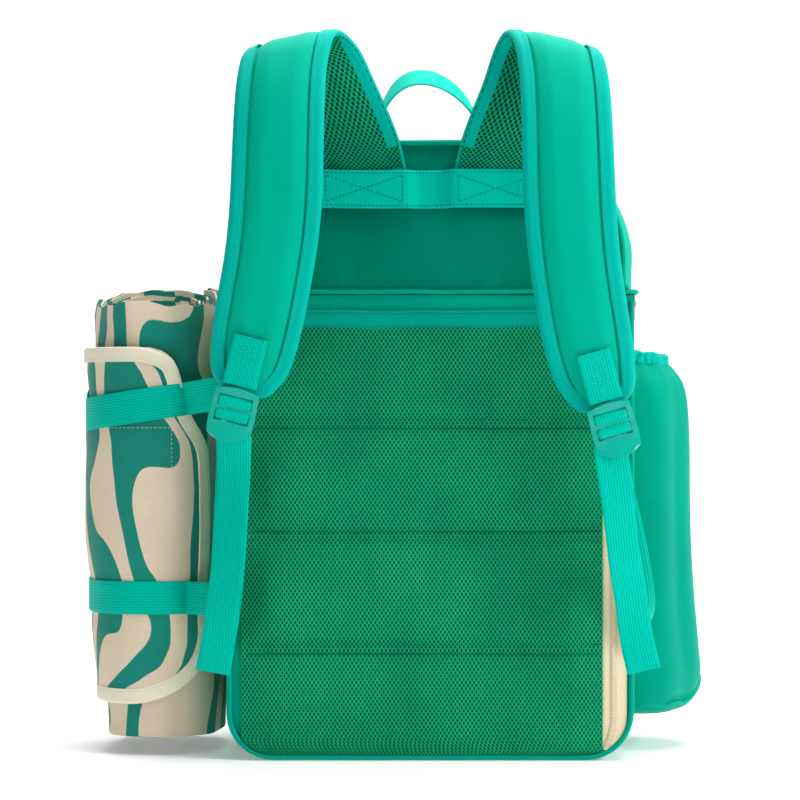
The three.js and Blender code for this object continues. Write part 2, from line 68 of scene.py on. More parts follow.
UP = (0.0, 0.0, 1.0)
UV_MAP = "Cloth"
SENSOR = 36.0
Array = np.ndarray
Place = Callable[[Array, Array], Array]
LOG = logging.getLogger("backpack")


# ---- finishes --------------------------------------------------------------------------------


class Wiring:
    """Adds nodes to one shader tree and joins them."""

    def __init__(self, tree: bpy.types.NodeTree) -> None:
        """Keeps the tree that nodes are added to.

        Args:
            tree: a material's tree or a node group.
        """
        self.tree = tree

    def node(self, kind: str, **inputs: object) -> bpy.types.Node:
        """Adds one node.

        Args:
            kind: the node's type name after "ShaderNode".
            inputs: a socket's name, with spaces as underscores, to its value or the socket that feeds it.

        Returns:
            The node.
        """
        made = self.tree.nodes.new("ShaderNode" + kind)
        for name, value in inputs.items():
            self.feed(made.inputs[name.replace("_", " ")], value)
        return made

    def feed(self, socket: bpy.types.NodeSocket, value: object) -> None:
        """Sets a socket, or links another socket to it."""
        if isinstance(value, bpy.types.NodeSocket):
            self.tree.links.new(value, socket)
        elif isinstance(value, tuple) and len(value) == 3 and socket.type == "RGBA":
            socket.default_value = (*value, 1.0)
        else:
            socket.default_value = value

    def math(self, operation: str, *values: object, clamp: bool = False) -> bpy.types.NodeSocket:
        """Adds a Math node and returns its result."""
        made = self.tree.nodes.new("ShaderNodeMath")
        made.operation = operation
        made.use_clamp = clamp
        for socket, value in zip(made.inputs, values):
            self.feed(socket, value)
        return made.outputs[0]

    def step(self, value: object, low: float, high: float) -> bpy.types.NodeSocket:
        """Returns a smooth step of value from 0 at low to 1 at high."""
        made = self.tree.nodes.new("ShaderNodeMapRange")
        made.interpolation_type = "SMOOTHSTEP"
        self.feed(made.inputs["Value"], value)
        made.inputs["From Min"].default_value = low
        made.inputs["From Max"].default_value = high
        return made.outputs["Result"]

    def mix(self, factor: object, a: object, b: object) -> bpy.types.NodeSocket:
        """Adds a colour Mix node and returns its result."""
        made = self.tree.nodes.new("ShaderNodeMix")
        made.data_type = "RGBA"
        for socket, value in zip((made.inputs[0], made.inputs[6], made.inputs[7]), (factor, a, b)):
            self.feed(socket, value)
        return made.outputs[2]

    def scaled(self, vector: object, factor: object) -> bpy.types.NodeSocket:
        """Adds a vector scaled by a factor and returns it."""
        made = self.node("VectorMath", Vector=vector)
        made.operation = "SCALE"
        self.feed(made.inputs["Scale"], factor)
        return made.outputs["Vector"]

    def noise(self, vector: object, scale: float, detail: float = 2.0) -> bpy.types.Node:
        """Adds a Noise Texture of `scale` features to the metre."""
        return self.node("TexNoise", Vector=vector, Scale=scale, Detail=detail)


class Weave(Enum):
    """How a cloth is made."""

    PLAIN = "fine plain weave"
    RIBBED = "webbing with ribs along it"
    GROSGRAIN = "tape with ribs across it"
    AIR_MESH = "knit with open holes"
    SUEDE = "brushed nap"
    FILM = "creased film"
    FOAM = "fine cells"


def new_group(name: str, inputs: Sequence[str], outputs: Sequence[str]) -> tuple[Wiring, dict, dict]:
    """Starts a shader node group whose inputs are a Vector and numbers, and whose outputs are numbers.

    Args:
        name: the group's name.
        inputs: the numbers' names, after the Vector.
        outputs: the outputs' names.

    Returns:
        The group's wiring, its input sockets by name, and its output sockets by name.
    """
    tree = bpy.data.node_groups.new(name, "ShaderNodeTree")
    tree.interface.new_socket(name="Vector", in_out="INPUT", socket_type="NodeSocketVector")
    for label in inputs:
        tree.interface.new_socket(name=label, in_out="INPUT", socket_type="NodeSocketFloat")
    for label in outputs:
        tree.interface.new_socket(name=label, in_out="OUTPUT", socket_type="NodeSocketFloat")
    wires = Wiring(tree)
    source = tree.nodes.new("NodeGroupInput")
    target = tree.nodes.new("NodeGroupOutput")
    taken = {label: source.outputs[label] for label in ("Vector", *inputs)}
    given = {label: target.inputs[label] for label in outputs}
    return wires, taken, given


def waves(wires: Wiring, along: object, period: object, shift: object = 0.0) -> bpy.types.NodeSocket:
    """Returns a cosine of `along` with that period."""
    turns = wires.math("DIVIDE", along, period)
    angle = wires.math("MULTIPLY_ADD", turns, 2 * math.pi, shift)
    return wires.math("COSINE", angle)


@lru_cache(maxsize=None)
def weave_group(weave: Weave) -> bpy.types.NodeTree:
    """Builds the node group of one weave: its relief, and how deep in a gap each point is.

    Args:
        weave: which weave.

    Returns:
        A group with inputs Vector and Pitch and outputs Height and Gap.
    """
    wires, taken, given = new_group(f"weave_{weave.name.lower()}", ["Pitch"], ["Height", "Gap"])
    split = wires.node("SeparateXYZ", Vector=taken["Vector"])
    u, v, pitch = split.outputs["X"], split.outputs["Y"], taken["Pitch"]
    if weave in (Weave.PLAIN, Weave.AIR_MESH):
        tall = wires.math("MULTIPLY", pitch, 1.0 if weave is Weave.PLAIN else 1.5)
        crossed = wires.math("MULTIPLY", waves(wires, u, pitch), waves(wires, v, tall))
        if weave is Weave.PLAIN:
            height = wires.math("MULTIPLY_ADD", crossed, 0.5, 0.5)
            gap = wires.step(height, 0.35, 0.0)
        else:
            frayed = wires.noise(taken["Vector"], 900.0, 1.0).outputs["Fac"]
            open_hole = wires.math("MULTIPLY_ADD", frayed, 0.3, crossed)
            gap = wires.step(open_hole, 0.12, 0.45)
            threads = waves(wires, wires.math("ADD", u, v), wires.math("MULTIPLY", pitch, 0.22))
            knit = wires.math("MULTIPLY_ADD", threads, 0.12, 1.0)
            height = wires.math("MULTIPLY", knit, wires.math("SUBTRACT", 1.0, gap))
    elif weave in (Weave.RIBBED, Weave.GROSGRAIN):
        across, along = (u, v) if weave is Weave.RIBBED else (v, u)
        turns = wires.math("DIVIDE", across, pitch)
        rib = wires.math("ABSOLUTE", wires.math("SINE", wires.math("MULTIPLY", turns, math.pi)))
        shift = wires.math("MULTIPLY", wires.math("FLOOR", turns), math.pi)
        picks = waves(wires, along, wires.math("MULTIPLY", pitch, 0.62), shift)
        rounded = wires.math("POWER", rib, 0.6)
        height = wires.math("MULTIPLY", rounded, wires.math("MULTIPLY_ADD", picks, 0.14, 0.86))
        gap = wires.step(height, 0.55, 0.1)
    else:
        scale = {Weave.SUEDE: 1400.0, Weave.FILM: 38.0, Weave.FOAM: 700.0}[weave]
        grain = wires.noise(taken["Vector"], scale, 3.0).outputs["Fac"]
        broad = wires.noise(taken["Vector"], scale * 0.17, 2.0).outputs["Fac"]
        height = wires.math("ADD", wires.math("MULTIPLY", grain, 0.6), wires.math("MULTIPLY", broad, 0.4))
        gap = wires.step(height, 0.46, 0.3)
    wires.feed(given["Height"], height)
    wires.feed(given["Gap"], gap)
    return wires.tree


@lru_cache(maxsize=None)
def dye_group() -> bpy.types.NodeTree:
    """Builds the node group for uneven dye: a slow and a fine change of tone, both near 1."""
    wires, taken, given = new_group("uneven_dye", ["Amount"], ["Tone"])
    slow = wires.noise(taken["Vector"], 14.0, 2.0).outputs["Fac"]
    fine = wires.noise(taken["Vector"], 420.0, 2.0).outputs["Fac"]
    both = wires.math("ADD", wires.math("MULTIPLY", slow, 1.3), wires.math("MULTIPLY", fine, 0.7))
    centred = wires.math("SUBTRACT", both, 1.0)
    wires.feed(given["Tone"], wires.math("MULTIPLY_ADD", centred, taken["Amount"], 1.0))
    return wires.tree


@lru_cache(maxsize=None)
def print_group() -> bpy.types.NodeTree:
    """Builds the node group of the blanket's print: flowing two-tone bands and drops."""
    wires, taken, given = new_group("flowing_print", ["Size"], ["Ink"])
    sized = wires.scaled(taken["Vector"], wires.math("DIVIDE", 1.0, taken["Size"]))
    drawn = wires.node("Mapping", Vector=sized)
    drawn.inputs["Scale"].default_value = (1.0, 0.52, 1.0)
    drift = wires.node("TexNoise", Vector=drawn.outputs["Vector"], Scale=0.85, Detail=0.0)
    bent = wires.node("VectorMath", Vector=drawn.outputs["Vector"])
    wires.feed(bent.inputs[1], wires.scaled(drift.outputs["Color"], 2.1))
    split = wires.node("SeparateXYZ", Vector=bent.outputs["Vector"])
    bands = wires.math("SINE", wires.math("MULTIPLY", split.outputs["X"], 2 * math.pi))
    drops = wires.node("TexNoise", Vector=bent.outputs["Vector"], Scale=0.9, Detail=0.0).outputs["Fac"]
    level = wires.math("MULTIPLY_ADD", wires.math("SUBTRACT", drops, 0.5), 2.2, bands)
    wires.feed(given["Ink"], wires.step(level, 0.02, 0.09))
    return wires.tree


def new_material(name: str) -> tuple[bpy.types.Material, Wiring, bpy.types.Node]:
    """Starts a material and returns it with its wiring and its shader."""
    made = bpy.data.materials.new(name)
    made.use_nodes = True
    return made, Wiring(made.node_tree), made.node_tree.nodes["Principled BSDF"]


@dataclass(frozen=True)
class Cloth:
    """A cloth or tape: its dye, its weave and how it takes light."""

    name: str
    tone: tuple[float, float, float]
    weave: Weave
    pitch: float = 0.6 * MM
    relief: float = 0.12 * MM
    # Painted shade: the colour, and the amount, by which the weave's gaps, holes and creases are darkened.
    gap_shade_tone: tuple[float, float, float] = (0.0, 0.1, 0.07)
    gap_shade_amount: float = 0.35
    roughness: float = 0.62
    sheen: float = 0.1
    sheen_tint: tuple[float, float, float] = (0.0, 1.0, 0.8)
    uneven: float = 0.12
    metallic: float = 0.0
    gloss: float = 0.2
    ink: tuple[float, float, float] | None = None

    def material(self) -> bpy.types.Material:
        """Builds the material, or returns the one made before."""
        made = bpy.data.materials.get(self.name)
        if made:
            return made
        made, wires, shader = new_material(self.name)
        uv = wires.node("UVMap")
        uv.uv_map = UV_MAP
        weave = self.group(wires, weave_group(self.weave), Vector=uv.outputs["UV"], Pitch=self.pitch)
        place = wires.node("TexCoord").outputs["Object"]
        dye = self.group(wires, dye_group(), Vector=place, Amount=self.uneven).outputs["Tone"]
        base: object = self.tone
        if self.ink is not None:
            ink = self.group(wires, print_group(), Vector=uv.outputs["UV"], Size=0.047).outputs["Ink"]
            base = wires.mix(ink, self.tone, self.ink)
        toned = wires.scaled(base, dye)
        # Painted shade: the weave's gaps, holes and creases are mixed towards a darker colour.
        depth = wires.math("MULTIPLY", weave.outputs["Gap"], self.gap_shade_amount)
        wires.feed(shader.inputs["Base Color"], wires.mix(depth, toned, self.gap_shade_tone))
        bump = wires.node("Bump", Height=weave.outputs["Height"], Distance=self.relief, Strength=0.8)
        wires.feed(shader.inputs["Normal"], bump.outputs["Normal"])
        rough = wires.math("MULTIPLY_ADD", dye, 0.18, self.roughness - 0.18, clamp=True)
        wires.feed(shader.inputs["Roughness"], rough)
        shader.inputs["Metallic"].default_value = self.metallic
        shader.inputs["Specular IOR Level"].default_value = self.gloss
        shader.inputs["Specular Tint"].default_value = (*self.sheen_tint, 1.0)
        shader.inputs["Sheen Weight"].default_value = self.sheen
        shader.inputs["Sheen Roughness"].default_value = 0.45
        shader.inputs["Sheen Tint"].default_value = (*self.sheen_tint, 1.0)
        return made

    @staticmethod
    def group(wires: Wiring, tree: bpy.types.NodeTree, **inputs: object) -> bpy.types.Node:
        """Places a node group in the material and feeds its inputs."""
        made = wires.tree.nodes.new("ShaderNodeGroup")
        made.node_tree = tree
        for name, value in inputs.items():
            wires.feed(made.inputs[name], value)
        return made


@dataclass(frozen=True)
class Moulding:
    """A hard moulded or cast finish: its colour, its gloss and its fine texture."""

    name: str
    tone: tuple[float, float, float]
    roughness: float = 0.3
    metallic: float = 0.0
    coat: float = 0.0
    grain: float = 0.03 * MM
    glow: float = 0.0
    gloss: float = 0.5

    def material(self) -> bpy.types.Material:
        """Builds the material, or returns the one made before."""
        made = bpy.data.materials.get(self.name)
        if made:
            return made
        made, wires, shader = new_material(self.name)
        place = wires.node("TexCoord").outputs["Object"]
        dye = Cloth.group(wires, dye_group(), Vector=place, Amount=0.1).outputs["Tone"]
        wires.feed(shader.inputs["Base Color"], wires.scaled(self.tone, dye))
        grain = wires.noise(place, 1600.0, 2.0).outputs["Fac"]
        bump = wires.node("Bump", Height=grain, Distance=self.grain, Strength=0.5)
        wires.feed(shader.inputs["Normal"], bump.outputs["Normal"])
        scuffs = wires.step(wires.noise(place, 210.0, 4.0).outputs["Fac"], 0.45, 0.75)
        wires.feed(shader.inputs["Roughness"], wires.math("MULTIPLY_ADD", scuffs, 0.15, self.roughness))
        shader.inputs["Metallic"].default_value = self.metallic
        shader.inputs["Coat Weight"].default_value = self.coat
        shader.inputs["Emission Color"].default_value = (1.0, 1.0, 1.0, 1.0)
        shader.inputs["Emission Strength"].default_value = self.glow
        shader.inputs["Specular IOR Level"].default_value = self.gloss
        return made


BODY = Cloth("emerald_polyester", (0.0, 0.41, 0.28), Weave.PLAIN, pitch=0.7 * MM, relief=0.05 * MM,
             gap_shade_amount=0.2)
# Painted shade: a darker copy of the body fabric, for the lid's back panel that lies in shade between the
# straps.
BODY_SHADED = Cloth("emerald_body_painted_shade", (0.0, 0.205, 0.13), Weave.PLAIN, pitch=0.7 * MM, relief=0.05 * MM,
                gap_shade_amount=0.2)
# Painted shade: a darker copy of the body fabric, for the pouch's cup whose near side lies in shade.
POUCH_SHADED = Cloth("emerald_pouch_painted_shade", (0.0, 0.30, 0.20), Weave.PLAIN, pitch=0.7 * MM, relief=0.05 * MM,
              gap_shade_amount=0.2, uneven=0.3)
PIPING = Cloth("piping_tape", (0.0, 0.36, 0.24), Weave.GROSGRAIN, pitch=1.1 * MM, relief=0.15 * MM)
BINDING = Cloth("turquoise_grosgrain", (0.001, 0.44, 0.36), Weave.GROSGRAIN, pitch=0.95 * MM,
                relief=0.16 * MM, gap_shade_tone=(0.0, 0.27, 0.2), gap_shade_amount=0.55)
WEB = Cloth("turquoise_webbing", (0.0, 0.52, 0.40), Weave.RIBBED, pitch=2.1 * MM, relief=0.42 * MM,
            gap_shade_tone=(0.0, 0.17, 0.12), gap_shade_amount=0.75)
# Painted shade: a darker copy of the turquoise binding, for the tape on the mesh's top edge that lies in the
# straps' shadow.
MESH_TAPE_SHADED = Cloth("mesh_tape_painted_shade", (0.001, 0.35, 0.27), Weave.GROSGRAIN, pitch=0.95 * MM, relief=0.16 * MM,
                  gap_shade_tone=(0.0, 0.2, 0.15), gap_shade_amount=0.55)
BAND = Cloth("anchor_webbing", (0.0, 0.55, 0.43), Weave.GROSGRAIN, pitch=1.5 * MM, relief=0.3 * MM,
             gap_shade_tone=(0.0, 0.2, 0.14), gap_shade_amount=0.6)
# Its uneven amount is set high. This is partly the mesh's own uneven dye and partly painted light and shade
# for the pad's broad bright and dark zones.
BACK_MESH = Cloth("back_air_mesh", (0.010, 0.37, 0.165), Weave.AIR_MESH, pitch=3.15 * MM, relief=0.9 * MM,
                  gap_shade_tone=(0.0, 0.06, 0.02), gap_shade_amount=0.95, roughness=0.7, uneven=0.55)
STRAP_MESH = Cloth("strap_air_mesh", (0.006, 0.40, 0.20), Weave.AIR_MESH, pitch=4.1 * MM, relief=1.4 * MM,
                   gap_shade_tone=(0.0, 0.02, 0.006), gap_shade_amount=1.0, roughness=0.7)
ZIP_CLOTH = Cloth("cream_zip_tape", (0.88, 0.75, 0.52), Weave.GROSGRAIN, pitch=1.2 * MM, relief=0.15 * MM,
                  gap_shade_tone=(0.5, 0.4, 0.24), gap_shade_amount=0.4, sheen_tint=(1.0, 0.95, 0.85))
COIL = Moulding("cream_coil", (0.80, 0.66, 0.45), roughness=0.35, coat=0.2)
LINER = Cloth("silver_liner", (0.62, 0.64, 0.66), Weave.FILM, relief=1.6 * MM, gap_shade_tone=(0.4, 0.42, 0.44),
              gap_shade_amount=0.5, roughness=0.32, sheen=0.0, metallic=0.55, sheen_tint=(1.0, 1.0, 1.0))
FOAM = Cloth("white_foam", (0.88, 0.88, 0.85), Weave.FOAM, relief=0.4 * MM, gap_shade_tone=(0.6, 0.6, 0.58),
             roughness=0.85, sheen=0.0, sheen_tint=(1.0, 1.0, 1.0))
BLANKET = Cloth("printed_suede", (0.74, 0.61, 0.46), Weave.SUEDE, relief=0.25 * MM,
                gap_shade_tone=(0.2, 0.22, 0.16), gap_shade_amount=0.14, roughness=0.85, sheen=0.2,
                sheen_tint=(1.0, 0.95, 0.9), uneven=0.16, ink=(0.004, 0.235, 0.18))
CREAM = Cloth("cream_binding", (0.84, 0.79, 0.61), Weave.PLAIN, pitch=0.9 * MM, relief=0.12 * MM,
              gap_shade_tone=(0.55, 0.5, 0.36), gap_shade_amount=0.3, sheen_tint=(1.0, 1.0, 0.9))
THREAD = Moulding("turquoise_thread", (0.0, 0.50, 0.42), roughness=0.6, gloss=0.2)
DARK_THREAD = Moulding("deep_green_thread", (0.0, 0.12, 0.085), roughness=0.6, gloss=0.2)
CREAM_THREAD = Moulding("cream_thread", (0.66, 0.6, 0.48), roughness=0.6)
LOCK = Moulding("teal_acetal", (0.0, 0.40, 0.31), roughness=0.3, gloss=0.25)
BOARD = Moulding("grey_board", (0.28, 0.29, 0.3), roughness=0.55)
SLIDER = Moulding("painted_zinc", (0.80, 0.69, 0.48), roughness=0.25, coat=0.6, metallic=0.2)


# ---- shapes in numbers -----------------------------------------------------------------------


def unit(vectors: Array) -> Array:
    """Returns the vectors at length one."""
    return vectors / np.maximum(np.linalg.norm(vectors, axis=-1, keepdims=True), 1e-12)


def stacked(*columns: object) -> Array:
    """Returns the columns side by side, one row a place; a number fills its whole column."""
    return np.stack(np.broadcast_arrays(*columns), axis=1)


def mileage(line: Array) -> Array:
    """Returns how far along a line of points each of them is."""
    return np.r_[0, np.cumsum(np.linalg.norm(np.diff(line, axis=0), axis=1))]


def sample(at: Array, stops: Array, table: Array) -> Array:
    """Returns a table's rows at places between its stops."""
    return np.stack([np.interp(at, stops, column) for column in table.T], axis=1)


def to_end(share: Array) -> Array:
    """Returns how far each share is from the nearer end."""
    return np.minimum(share, 1 - share)


def bell(value: Array, middle: float, width: float) -> Array:
    """Returns a bump of height one about the middle, falling away over the width."""
    return np.exp(-(((value - middle) / width) ** 2))


def ease(value: Array, low: float, high: float) -> Array:
    """Returns a smooth step from 0 at low to 1 at high."""
    t = np.clip((value - low) / (high - low), 0.0, 1.0)
    return t * t * (3 - 2 * t)


def spline(knots: Sequence[Sequence[float]] | Array, count: int) -> Array:
    """Returns `count` points of a smooth curve through the knots, evenly spaced by knot."""
    given = np.asarray(knots, float)
    padded = np.vstack([2 * given[0] - given[1], given, 2 * given[-1] - given[-2]])
    t = np.linspace(0, len(given) - 1, count)
    i = np.minimum(t.astype(int), len(given) - 2)
    f = (t - i)[:, None]
    a, b, c, d = padded[i], padded[i + 1], padded[i + 2], padded[i + 3]
    return 0.5 * (2 * b + (c - a) * f + (2 * a - 5 * b + 4 * c - d) * f**2 + (3 * b - a - 3 * c + d) * f**3)


def ripple(points: Array, wavelength: float, seed: int) -> Array:
    """Returns a smooth unevenness from about -1 to 1 at each point, the same on every run.

    Args:
        points: places, one a row.
        wavelength: the largest swell's length.
        seed: which unevenness.
    """
    rng = np.random.default_rng(seed)
    total = np.zeros(len(points))
    for k in range(8):
        direction = unit(rng.normal(size=3))
        swell = 2 * math.pi * (1 + 0.35 * k) / wavelength
        total += np.sin(points @ direction * swell + rng.uniform(0, 2 * math.pi)) / (1 + 0.25 * k)
    return total / 3.2


@dataclass
class Route:
    """A line in space with the side that it faces: points, and unit vectors across it and out of it."""

    points: Array
    across: Array
    out: Array

    @classmethod
    def through(cls, knots: object, outs: object, count: int = 90, raw: bool = False) -> "Route":
        """Lays a smooth, evenly spaced route through knots.

        Args:
            knots: the points that it passes.
            outs: the side that it faces at each knot, or at all of them.
            count: how many points it gets.
            raw: whether the knots are already a fine line.
        """
        given = np.asarray(knots, float)
        facing = np.broadcast_to(np.asarray(outs, float), given.shape)
        fine = given if raw else spline(given, 12 * len(given))
        looks = facing if raw else spline(facing, 12 * len(given))
        gone = mileage(fine)
        at = np.linspace(0, gone[-1], count)
        points, look = sample(at, gone, fine), sample(at, gone, looks)
        along = unit(np.gradient(points, axis=0))
        across = unit(np.cross(along, look))
        return cls(points, across, unit(np.cross(across, along)))

    @property
    def length(self) -> float:
        """How long the route is."""
        return float(np.linalg.norm(np.diff(self.points, axis=0), axis=1).sum())

    def at(self, v: Array) -> tuple[Array, Array, Array]:
        """Returns the points, across and out vectors at shares v of the route."""
        stops = np.linspace(0, 1, len(self.points))
        return tuple(sample(v, stops, part) for part in (self.points, self.across, self.out))

    def moved(self, across: float = 0.0, out: float = 0.0, start: float = 0.0, end: float = 1.0) -> "Route":
        """Returns the stretch from start to end, moved across and out."""
        count = max(2, int(len(self.points) * (end - start)))
        points, side, face = self.at(np.linspace(start, end, count))
        return Route(points + side * across + face * out, side, face)


def round_section(radius: float, sides: int = 10) -> Array:
    """Returns a round cross-section, as rows of across and out."""
    angle = np.linspace(0, 2 * math.pi, sides, endpoint=False)
    return radius * stacked(np.cos(angle), np.sin(angle))


def flat_section(width: float, thick: float, cells: int = 8) -> Array:
    """Returns a flat cross-section with rounded edges, as rows of across and out."""
    half, edge = width / 2, thick * 0.45
    row = np.linspace(half - edge, -half + edge, cells + 1)
    top = stacked(row, thick / 2)
    low = stacked(row[::-1], -thick / 2)
    left = np.array([[-half, thick * 0.22], [-half, -thick * 0.22]])
    return np.vstack([top, left, low, -left])


# ---- the workbench ---------------------------------------------------------------------------


def clear_selection() -> None:
    """Leaves edit mode and deselects everything."""
    if bpy.context.object and bpy.context.object.mode != "OBJECT":
        bpy.ops.object.mode_set(mode="OBJECT")
    bpy.ops.object.select_all(action="DESELECT")


def pick(obj: bpy.types.Object, *others: bpy.types.Object) -> None:
    """Selects only these objects, the first of them active."""
    clear_selection()
    for each in (obj, *others):
        each.select_set(True)
    bpy.context.view_layer.objects.active = obj


def apply_modifier(obj: bpy.types.Object, kind: str, **settings: object) -> None:
    """Adds one modifier with its settings and applies it."""
    pick(obj)
    modifier = obj.modifiers.new(kind.lower(), kind)
    for name, value in settings.items():
        setattr(modifier, name, value)
    bpy.ops.object.modifier_apply(modifier=modifier.name)


def edit(obj: bpy.types.Object, *steps: Callable[[], object]) -> None:
    """Runs each step in edit mode on the whole mesh."""
    pick(obj)
    bpy.ops.object.mode_set(mode="EDIT")
    for step in steps:
        bpy.ops.mesh.select_all(action="SELECT")
        step()
    bpy.ops.object.mode_set(mode="OBJECT")


def face_outwards() -> None:
    """Turns the selected faces outwards."""
    bpy.ops.mesh.normals_make_consistent(inside=False)


def tidy_mesh(obj: bpy.types.Object, close: bool = False) -> None:
    """Merges doubled points, closes open ends if asked, and turns the faces outwards."""
    steps = [partial(bpy.ops.mesh.remove_doubles, threshold=MERGE)]
    if close:
        steps.append(partial(bpy.ops.mesh.fill_holes, sides=0))
    edit(obj, *steps, face_outwards)


def joined(name: str, parts: Sequence[bpy.types.Object]) -> bpy.types.Object:
    """Joins parts into the first of them and names it."""
    pick(*parts)
    bpy.ops.object.join()
    obj = bpy.context.object
    obj.name = obj.data.name = name
    return obj


def thickened(obj: bpy.types.Object, thick: float, degrees: float) -> bpy.types.Object:
    """Gives a laid grid its thickness, half to each side, and shades it smoothly."""
    apply_modifier(obj, "SOLIDIFY", thickness=thick, offset=0.0)
    tidy_mesh(obj)
    return smooth(obj, degrees)


def smooth(obj: bpy.types.Object, degrees: float = 40.0) -> bpy.types.Object:
    """Shades the object smoothly, apart from edges sharper than the angle."""
    pick(obj)
    bpy.ops.object.shade_smooth_by_angle(angle=math.radians(degrees))
    return obj


def laid_grid(
    name: str, cells: tuple[int, int], size: tuple[float, float], place: Place
) -> bpy.types.Object:
    """Adds a grid and lays it over a surface, with its own lengths kept as the UV map Cloth.

    Args:
        name: the object's name.
        cells: how many cells across and along.
        size: the cloth's width and length.
        place: gives the points for arrays of shares across and along.

    Returns:
        The grid object.
    """
    clear_selection()
    bpy.ops.mesh.primitive_grid_add(x_subdivisions=cells[0], y_subdivisions=cells[1], size=1.0)
    obj = bpy.context.object
    obj.name = obj.data.name = name
    mesh = obj.data
    flat = np.empty(len(mesh.vertices) * 3)
    mesh.vertices.foreach_get("co", flat)
    flat = flat.reshape(-1, 3) + 0.5
    spots = place(flat[:, 0], flat[:, 1])
    mesh.vertices.foreach_set("co", np.ascontiguousarray(spots, dtype=np.float32).ravel())
    corner = np.empty(len(mesh.loops), dtype=np.int32)
    mesh.loops.foreach_get("vertex_index", corner)
    layer = mesh.uv_layers[0]
    layer.name = UV_MAP
    lengths = flat[corner, :2] * np.array(size)
    layer.data.foreach_set("uv", np.ascontiguousarray(lengths, dtype=np.float32).ravel())
    mesh.update()
    return obj


def sheet(
    name: str, size: tuple[float, float], cell: float, place: Place, thick: float
) -> bpy.types.Object:
    """Makes a sheet of cloth: a laid grid given its thickness.

    Args:
        name: the object's name.
        size: its width and length.
        cell: how large a cell of its grid is.
        place: gives the points for arrays of shares across and along.
        thick: its thickness, half to each side.
    """
    cells = (max(2, round(size[0] / cell)), max(2, round(size[1] / cell)))
    return thickened(laid_grid(name, cells, size, place), thick, 50)


def turn_print(obj: bpy.types.Object, start: tuple[float, float], turned: bool = True) -> None:
    """Moves a cloth's print, and turns it by a quarter or mirrors it.

    Args:
        obj: the cloth, as laid_grid leaves it.
        start: where on the print its first corner lies.
        turned: whether it is turned by a quarter; otherwise it is mirrored.
    """
    layer = obj.data.uv_layers[UV_MAP]
    values = np.empty(len(obj.data.loops) * 2, dtype=np.float32)
    layer.data.foreach_get("uv", values)
    values = values.reshape(-1, 2)
    values = values[:, ::-1] if turned else values * [-1.0, 1.0]
    layer.data.foreach_set("uv", np.ascontiguousarray(values + start, dtype=np.float32).ravel())


def swept(
    name: str,
    route: Route,
    section: Array,
    step: float,
    widths: Callable[[Array], Array] | None = None,
    heights: Callable[[Array], Array] | None = None,
    closed: bool = False,
) -> bpy.types.Object:
    """Sweeps a closed cross-section along a route.

    Args:
        name: the object's name.
        route: the route.
        section: the section's corners, as rows of across and out.
        step: the distance between rings.
        widths: how much wider the section is at shares of the route.
        heights: how much thicker it is at shares of the route.
        closed: whether the route ends where it starts.
    """
    ring = np.vstack([section, section[:1]])
    round_it = mileage(ring)
    sides = len(section)

    def place(u: Array, v: Array) -> Array:
        corner = np.rint(u * sides).astype(int)
        points, across, out = route.at(v)
        wide = widths(v) if widths else np.ones_like(v)
        high = heights(v) if heights else np.ones_like(v)
        a = (ring[corner, 0] * wide)[:, None]
        n = (ring[corner, 1] * high)[:, None]
        return points + across * a + out * n

    rings = max(2, round(route.length / step))
    obj = laid_grid(name, (sides, rings), (round_it[-1], route.length), place)
    layer = obj.data.uv_layers[UV_MAP]
    values = np.empty(len(obj.data.loops) * 2, dtype=np.float32)
    layer.data.foreach_get("uv", values)
    values = values.reshape(-1, 2)
    corner = np.rint(values[:, 0] / round_it[-1] * sides).astype(int)
    values[:, 0] = round_it[corner]
    layer.data.foreach_set("uv", values.ravel())
    tidy_mesh(obj, close=not closed)
    return smooth(obj, 50)


@lru_cache(maxsize=None)
def seed_shape(kind: str) -> tuple[Array, tuple[tuple[int, ...], ...]]:
    """Models one small repeated shape, a stitch or a zip tooth, about the origin.

    Args:
        kind: "stitch" or "tooth".

    Returns:
        Its points, with X along, Y across and Z out, each from -1 to 1, and its faces.
    """
    clear_selection()
    if kind == "stitch":
        bpy.ops.mesh.primitive_uv_sphere_add(segments=6, ring_count=5, radius=1.0)
        obj = bpy.context.object
        points = np.array([(v.co.z, v.co.x, v.co.y) for v in obj.data.vertices])
    else:
        bpy.ops.mesh.primitive_cube_add(size=2.0)
        obj = bpy.context.object
        apply_modifier(obj, "BEVEL", width=0.55, segments=2)
        points = np.array([tuple(v.co) for v in obj.data.vertices])
    faces = tuple(tuple(p.vertices) for p in obj.data.polygons)
    bpy.data.objects.remove(obj)
    return points, faces


